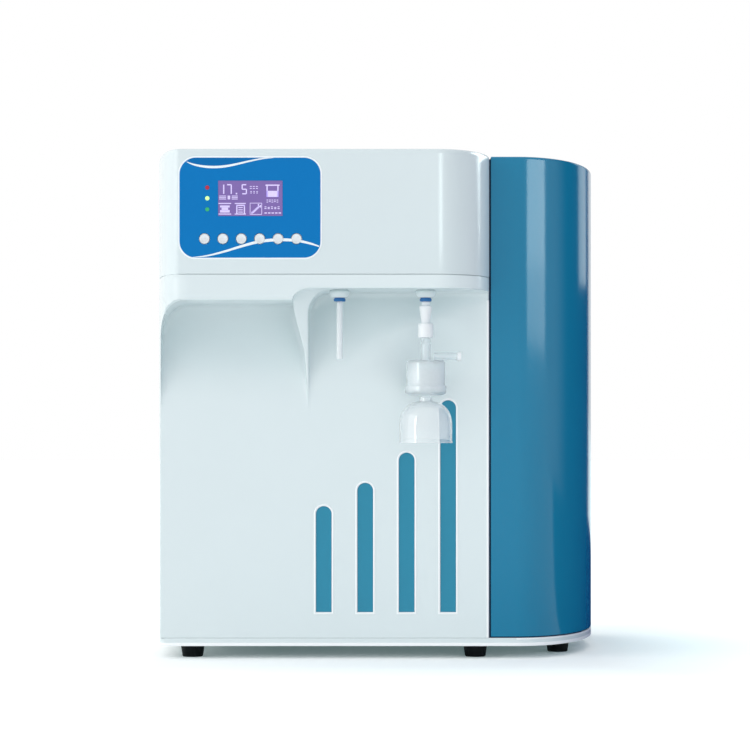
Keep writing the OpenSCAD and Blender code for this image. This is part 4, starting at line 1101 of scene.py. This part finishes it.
def clear_plastic(name, tint, rough, milk):
    """See-through plastic; milk is the share of light that it scatters."""
    look, tree, place = new_look(name)
    flow = noise(tree, place, 1 / (FLOW * MM), 2.0)
    wave = add(tree, "ShaderNodeBump", {"Strength": 0.1, "Distance": 0.005 * MM, "Height": flow}).outputs[0]
    glass = add(tree, "ShaderNodeBsdfPrincipled", {"Base Color": tint, "Roughness": rough, "IOR": 1.46,
                                                   "Transmission Weight": 1.0, "Normal": wave})
    cloudy = add(tree, "ShaderNodeBsdfPrincipled", {"Base Color": tint, "Roughness": 0.35})
    solid = either(tree, ranged(tree, flow, milk * 0.96, milk * 1.04), glass, cloudy)
    # Light passes to what lies behind and inside
    rays = add(tree, "ShaderNodeLightPath").outputs
    open_way = add(tree, "ShaderNodeBsdfTransparent", {"Color": (0.97, 0.98, 0.98, 1)})
    finished(tree, either(tree, larger(tree, rays["Is Shadow Ray"], rays["Is Diffuse Ray"]), solid, open_way))
    return look


tubing = clear_plastic("tubing", linear(236, 243, 245), 0.25, 0.55)
grip, top = COLLET_LOW - tube_low.z, tube_high.z - tube_low.z
tube = [(TUBE_BORE, 0.15), (TUBE_BORE + 0.15, 0), (TUBE_R - 0.25, 0), (TUBE_R, 0.3), (TUBE_R, grip - 0.3),
        (TUBE_R - 0.35, grip), (TUBE_R - 0.35, top), (TUBE_BORE, top)]
turned("dispensing_tube", tube, (TUBE_X, OUTLET_Y, tube_low.z), tubing, "outlet_tube", steps=48)

# ---- Capsule filter ----
# The adapter's stem pushes into the right collet and the ring clamps the capsule to it. The capsule
# is clear, with a pleated membrane, a capped side vent and a loose bell guard on its outlet.

BORE_R = 1.5
stem_top = CEILING + 5 - ADAPTER_LOW
adapter = [(BORE_R, -11), (4.2, -11), (4.2, -2), (4.5, 0), (4.6, 2), (4.95, 5), (5.5, 8.5), (6.1, 12.6),
           (6.55, ADAPTER_H - 5.5), (6.6, ADAPTER_H - 5), (6.2, ADAPTER_H - 4.4), (4.6, ADAPTER_H - 3.5),
           (4.2, ADAPTER_H - 3), (4.1, ADAPTER_H - 0.2), (3.9, ADAPTER_H), (TUBE_R, ADAPTER_H),
           (TUBE_R, stem_top - 0.4), (2.9, stem_top), (BORE_R, stem_top)]
turned("adapter_cone", adapter, (FILTER_X, OUTLET_Y, ADAPTER_LOW), acetal, "filter_adapter",
       "adapter")
ring = [(4.2, 4.3), (4.85, 0.3), (7.2, 0.3), (7.55, 0.45), (7.7, 0.8), (7.7, RING_H - 1.2),
        (7.5, RING_H - 0.7), (7.1, RING_H - 0.5), (4.7, RING_H - 0.5), (4.2, RING_H - 2.2)]
turned("union_ring", ring, (FILTER_X, OUTLET_Y, RING_LOW), acetal, "filter_ring", "adapter")

CAPSULE_R = 19.65
RIM = CAPSULE_R + 1.3
NECK_R = 4.9
stem_top = CAPSULE_H + STEM_H
clear_shell = clear_plastic("clear_shell", linear(236, 244, 246), 0.04, 0.3)
# Outside from the outlet up over the rim to the inlet stem, then back down along the inside
shell = ([(2.2, 0.2 - NECK_H), (2.4, -NECK_H), (NECK_R - 0.3, -NECK_H), (NECK_R, 0.3 - NECK_H), (NECK_R, 0)]
         + arc(12, 4, RIM - 12, 4, 270, 360, 12)
         + [(RIM, 9.2), (RIM - 0.2, 9.7), (CAPSULE_R + 0.3, 10.4), (CAPSULE_R, 10.9)]
         + arc(CAPSULE_R - 3, CAPSULE_H - 3, 3, 3, 0, 90, 6)
         + [(6.2, CAPSULE_H), (5.4, CAPSULE_H + 0.3), (NECK_R, CAPSULE_H + 1.2), (NECK_R, stem_top - 6.5),
            (4.5, stem_top - 5.8), (4.5, stem_top - 4.6), (NECK_R, stem_top - 3.9), (NECK_R, stem_top),
            (3.6, stem_top), (3.6, stem_top + 3.6), (2, stem_top + 3.6), (2, CAPSULE_H - 2),
            (CAPSULE_R - 5, CAPSULE_H - 2.5), (CAPSULE_R - 3, CAPSULE_H - 3.4),
            (CAPSULE_R - 2.5, CAPSULE_H - 5.5), (CAPSULE_R - 2.5, 5), (8, 3.5), (1.8, 5 - NECK_H),
            (1.8, 3 - NECK_H), (2.2, 2.6 - NECK_H)])
capsule = turned("capsule_body", shell, (FILTER_X, OUTLET_Y, CAPSULE_LOW), clear_shell,
                 "filter_capsule", "filter", steps=96)

VENT_Z = CAPSULE_LOW + CAPSULE_H + 3.8
VENT_R = 4
VENT_START = 8.4
VENT_END = 32
barrel = [(1.6, VENT_START), (VENT_R, VENT_START), (VENT_R, VENT_END - 0.3), (VENT_R - 0.3, VENT_END),
          (1.6, VENT_END)]
turned("vent_barrel", barrel, (FILTER_X, OUTLET_Y, VENT_Z), clear_shell, body="filter",
       axis="x", steps=48)
low, high = mm_box("vent_cap")
PLUG_R = 1.52
CAP_R = 4.7
CAP_LENGTH = 3.7
end = high.x - low.x
grip = end - CAP_LENGTH
plug = [(0, 0), (PLUG_R, 0), (PLUG_R, grip), (CAP_R - 0.25, grip), (CAP_R, grip + 0.25), (CAP_R, end - 0.4),
        (CAP_R - 0.4, end), (0, end)]
turned("vent_plug", plug, (low.x, OUTLET_Y, VENT_Z), acetal, "vent_cap", "vent_cap", "x", 48)

# Pleats run round the membrane between its inner and outer radius
low, high = mm_box("filter_membrane")
PLEAT_OUT = 17
PLEAT_IN = 14.6
PLEATS = 56


def pleats(inset):
    turns = [(math.pi * k / PLEATS, (PLEAT_OUT if k % 2 else PLEAT_IN) - inset) for k in range(2 * PLEATS)]
    return [(FILTER_X + r * math.cos(t), OUTLET_Y + r * math.sin(t)) for t, r in turns]


fleece = moulded("fleece", linear(236, 241, 243), 0.8, grain=0.25, depth=0.04, level=0.2)
piece("membrane_pleats", stack(rings_of(pleats, [(0, low.z), (0, high.z)])), fleece,
      "filter_membrane", "filter", crease=10)

BELL_R = 27.2
BELL_H = 42.7
BELL_WALL = 1.6
# The dome takes up this much of the bell's height
BELL_RISE = BELL_H * 0.62
HUB_R = NECK_R + 0.08
bell_low = CAPSULE_LOW - NECK_H + 0.2 - BELL_H


def dome(r, z0, h, start, end, steps):
    """A dome's side from angle start to end, fuller than an ellipse."""
    turns = [math.radians(start + (end - start) * k / steps) for k in range(steps + 1)]
    return [(r * max(0, math.cos(t)) ** 0.8, z0 + h * max(0, math.sin(t)) ** 0.8) for t in turns]


clear_bell = clear_plastic("clear_bell", linear(246, 250, 251), 0.03, 0.22)
guard = ([(BELL_R - BELL_WALL, 0.3), (BELL_R - BELL_WALL + 0.3, 0), (BELL_R - 0.3, 0), (BELL_R, 0.3),
          (BELL_R, 1.6), (BELL_R - 0.4, 2.4)]
         + dome(BELL_R - 0.4, BELL_H - BELL_RISE, BELL_RISE, 0, 80, 28)
         + [(HUB_R + 1.2, BELL_H + 0.1), (HUB_R + 1.2, BELL_H + 3.1), (HUB_R + 0.9, BELL_H + 3.4),
            (HUB_R, BELL_H + 3.4), (HUB_R, BELL_H - BELL_WALL)]
         + dome(BELL_R - 0.4 - BELL_WALL, BELL_H - BELL_RISE, BELL_RISE - BELL_WALL, 76, 0, 28))
bell = turned("bell", guard, (FILTER_X, OUTLET_Y, bell_low), clear_bell, "bell_guard",
              "filter", steps=128)
for made in (capsule, bell):
    filter_things.objects.link(made)

# ---- Side cover ----
# A gloss blue moulding round the whole right side. It turns on two pins in the bead along its rear
# edge, and two steel strike plates inside its front flange meet magnets on the housing.

blue_gloss = moulded("blue_gloss", linear(20, 127, 165), 0.14, grain=0.6, depth=0.006, drift=0.015, level=0.3)
door_low, door_high = mm_box("side_door")
DOOR_GAP = 0.5
DOOR_X = door_low.x + DOOR_GAP
DOOR_WALL = 2.5
DOOR_EDGE = 3
HINGE_X = RIGHT - 5
HINGE_Y = REAR_Y - 5.5
BEAD_R = 4.8
BEAD_TOP = door_high.z - 16
FLANGE_BACK = PANEL_Y + 12
CATCH_Z = [base_high.z + 60, head_high.z - 70]
CATCH_HALF = 14


def door_outline(inset):
    """The outside of the cover moved inwards, from its front end to its hinge end."""
    return ([(DOOR_X, PANEL_Y + inset)]
            + arc(RIGHT - CURVE_W, PANEL_Y + CURVE_D, CURVE_W - inset, CURVE_D - inset, 270, 360, 64)
            + [(RIGHT - inset, HINGE_Y)])


LIP = 0.5
top, bottom = door_high.z, door_low.z + DOOR_GAP
levels = [(LIP, bottom), (LIP * 0.3, bottom + LIP * 0.3), (0, bottom + LIP)] + upper_edge(DOOR_EDGE, top, 6)
inside = [(DOOR_WALL, bottom), (DOOR_WALL, top - DOOR_WALL - 2), (DOOR_WALL + 2, top - DOOR_WALL)]
verts, faces = band(rings_of(door_outline, levels))
# Roof, wall ends, inside and lower lip close the shell
n = len(door_outline(0))
roof = (len(levels) - 1) * n
first = len(verts)
inner_verts, inner_faces = band(rings_of(door_outline, inside))
verts += inner_verts
faces += [tuple(first + v for v in face[::-1]) for face in inner_faces]
faces += [(first + i, first + i + 1, i + 1, i) for i in range(n - 1)]
ceiling = first + (len(inside) - 1) * n
corner = len(verts)
verts += [(DOOR_X, HINGE_Y, top), (DOOR_X, HINGE_Y, top - DOOR_WALL)]
faces.append(tuple(roof + i for i in range(n)) + (corner,))
faces.append((corner + 1,) + tuple(ceiling + i for i in range(n - 1, -1, -1)))
for last in (0, n - 1):
    outer_edge = [k * n + last for k in range(len(levels))]
    inner_edge = [first + k * n + last for k in range(len(inside))]
    end = outer_edge + [corner, corner + 1] + inner_edge[::-1]
    faces.append(tuple(end if last == 0 else end[::-1]))


def block(x0, y0, z0, x1, y1, z1):
    """Vertices and faces of a box."""
    corners = [(x, y, z) for z in (z0, z1) for x, y in ((x0, y0), (x1, y0), (x1, y1), (x0, y1))]
    return corners, [(3, 2, 1, 0), (4, 5, 6, 7), (0, 1, 5, 4), (1, 2, 6, 5), (2, 3, 7, 6), (3, 0, 4, 7)]


def bead_outline(inset):
    return arc(HINGE_X, HINGE_Y, BEAD_R - inset, BEAD_R - inset, 0, 360, 48)[:-1]


BEAD_EDGE = 0.4
levels = [(BEAD_EDGE, bottom), (0, bottom + BEAD_EDGE), (0, BEAD_TOP - BEAD_EDGE), (BEAD_EDGE, BEAD_TOP)]
parts = [(verts, faces), block(DOOR_X, PANEL_Y + 1, bottom, DOOR_X + DOOR_WALL, FLANGE_BACK, top - 1),
         stack(rings_of(bead_outline, levels))]
parts += [block(DOOR_X + 1, FLANGE_BACK - 1.5, z - CATCH_HALF, DOOR_X + 18, FLANGE_BACK, z + CATCH_HALF)
          for z in CATCH_Z]
cover = piece("cover_moulding", join(parts), blue_gloss, "side_door", "door", crease=32)
cover_things.objects.link(cover)

# Painted shade: a dark sheet stands in the joint in front of the cover, and another on the base under it, for
# the shade in these gaps
gap_shade = moulded("gap_shade", linear(8, 46, 74), 0.5, grain=0.4, depth=0.01, drift=0.05, level=0.15)
GAP_SHADE_Y = PANEL_Y + 1.5
GAP_SHADE_POINTS = 40
line = [(SEAM + 0.02, GAP_SHADE_Y), (DOOR_X - 0.05, GAP_SHADE_Y), (DOOR_X - 0.05, GAP_SHADE_Y + 4)]
shade_sheet = [[(x, y, z) for x, y in line] for z in (base_high.z, head_high.z - 4)]
piece("cover_gap_shade", band(shade_sheet), gap_shade)
levels = [(0.3, base_high.z + 0.03), (0.3, bottom - 0.05), (2.4, bottom - 0.05)]
shade_sheet = [ring[:GAP_SHADE_POINTS] for ring in rings_of(door_outline, levels)]
piece("base_gap_shade", band(shade_sheet), gap_shade)
dress(zinc, "door_strikes", "hinge_pins", "hinge_bracket")
ferrite = moulded("ferrite", linear(52, 52, 55), 0.6, grain=0.3, depth=0.03, drift=0.15)
dress(ferrite, "door_magnets")

# ---- Cartridge bay ----
# Three white cartridges stand in spring clips on the plated partition. Blue end caps close them, and
# bowed tubes link the caps.

cartridge_white = moulded("cartridge_white", linear(232, 238, 240), 0.4, grain=1.2, depth=0.04, drift=0.02)
cap_blue = moulded("cap_blue", linear(36, 104, 160), 0.35, grain=0.7, depth=0.03, drift=0.05)
nylon = moulded("black_nylon", linear(40, 42, 45), 0.5, grain=0.5, depth=0.04, drift=0.12)
CARTRIDGES = ["cartridge_%d" % k for k in (1, 2, 3)]
dress(cartridge_white, *CARTRIDGES)
dress(cap_blue, "cartridge_caps")
dress(nylon, "cartridge_clips")
dress(tubing, "bay_tubing")
# A plain label field on each cartridge, a little proud of its surface
label_paper = moulded("label_paper", linear(198, 216, 230), 0.5, grain=0.4, depth=0.01, drift=0.03)
LABEL_LOW = -55
LABEL_HIGH = 35
LABEL_TURN = 60
for k, node in enumerate(CARTRIDGES, 1):
    low, high = mm_box(node)
    middle = (low + high) / 2
    r = (high.x - low.x) / 2
    label = (arc(middle.x, middle.y, r + 0.1, r + 0.1, -LABEL_TURN, LABEL_TURN, 40)
             + arc(middle.x, middle.y, r - 0.1, r - 0.1, LABEL_TURN, -LABEL_TURN, 40))
    rings = [[(x, y, middle.z + z) for x, y in label] for z in (LABEL_LOW, LABEL_HIGH)]
    piece("cartridge_label_%d" % k, stack(rings), label_paper)

# ---- Works ----
# Pump, membrane housing, lamp housing, power supply and valves stand on the base behind the fascia.

die_cast = moulded("die_cast", linear(58, 60, 64), 0.5, grain=1.0, depth=0.06, drift=0.08)
case_metal = metal("case_metal", (0.68, 0.70, 0.72, 1), 0.4, brushed=0.3)
polished = metal("polished_steel", (0.66, 0.68, 0.70, 1), 0.22, brushed=0.15)
dress(die_cast, "booster_pump")
dress(cartridge_white, "membrane_housing")
dress(polished, "uv_lamp_housing")
dress(case_metal, "power_supply")
dress(nylon, "solenoid_valves")

# ---- Rear services ----
# Four push-in water ports with grey release collets, and a snap-in mains inlet with its rocker.

grey_acetal = moulded("grey_acetal", linear(214, 217, 220), 0.4, grain=0.6, depth=0.03, drift=0.04)
dark_acetal = moulded("dark_acetal", linear(140, 146, 152), 0.4, grain=0.6, depth=0.03, drift=0.05)
rocker_black = moulded("rocker_black", linear(26, 26, 29), 0.25, grain=0.5, depth=0.01, drift=0.1)
dress(grey_acetal, "rear_ports")
dress(dark_acetal, *("port_collet_%d" % k for k in (1, 2, 3, 4)))
dress(nylon, "power_module")
dress(rocker_black, "power_rocker")

low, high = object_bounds()
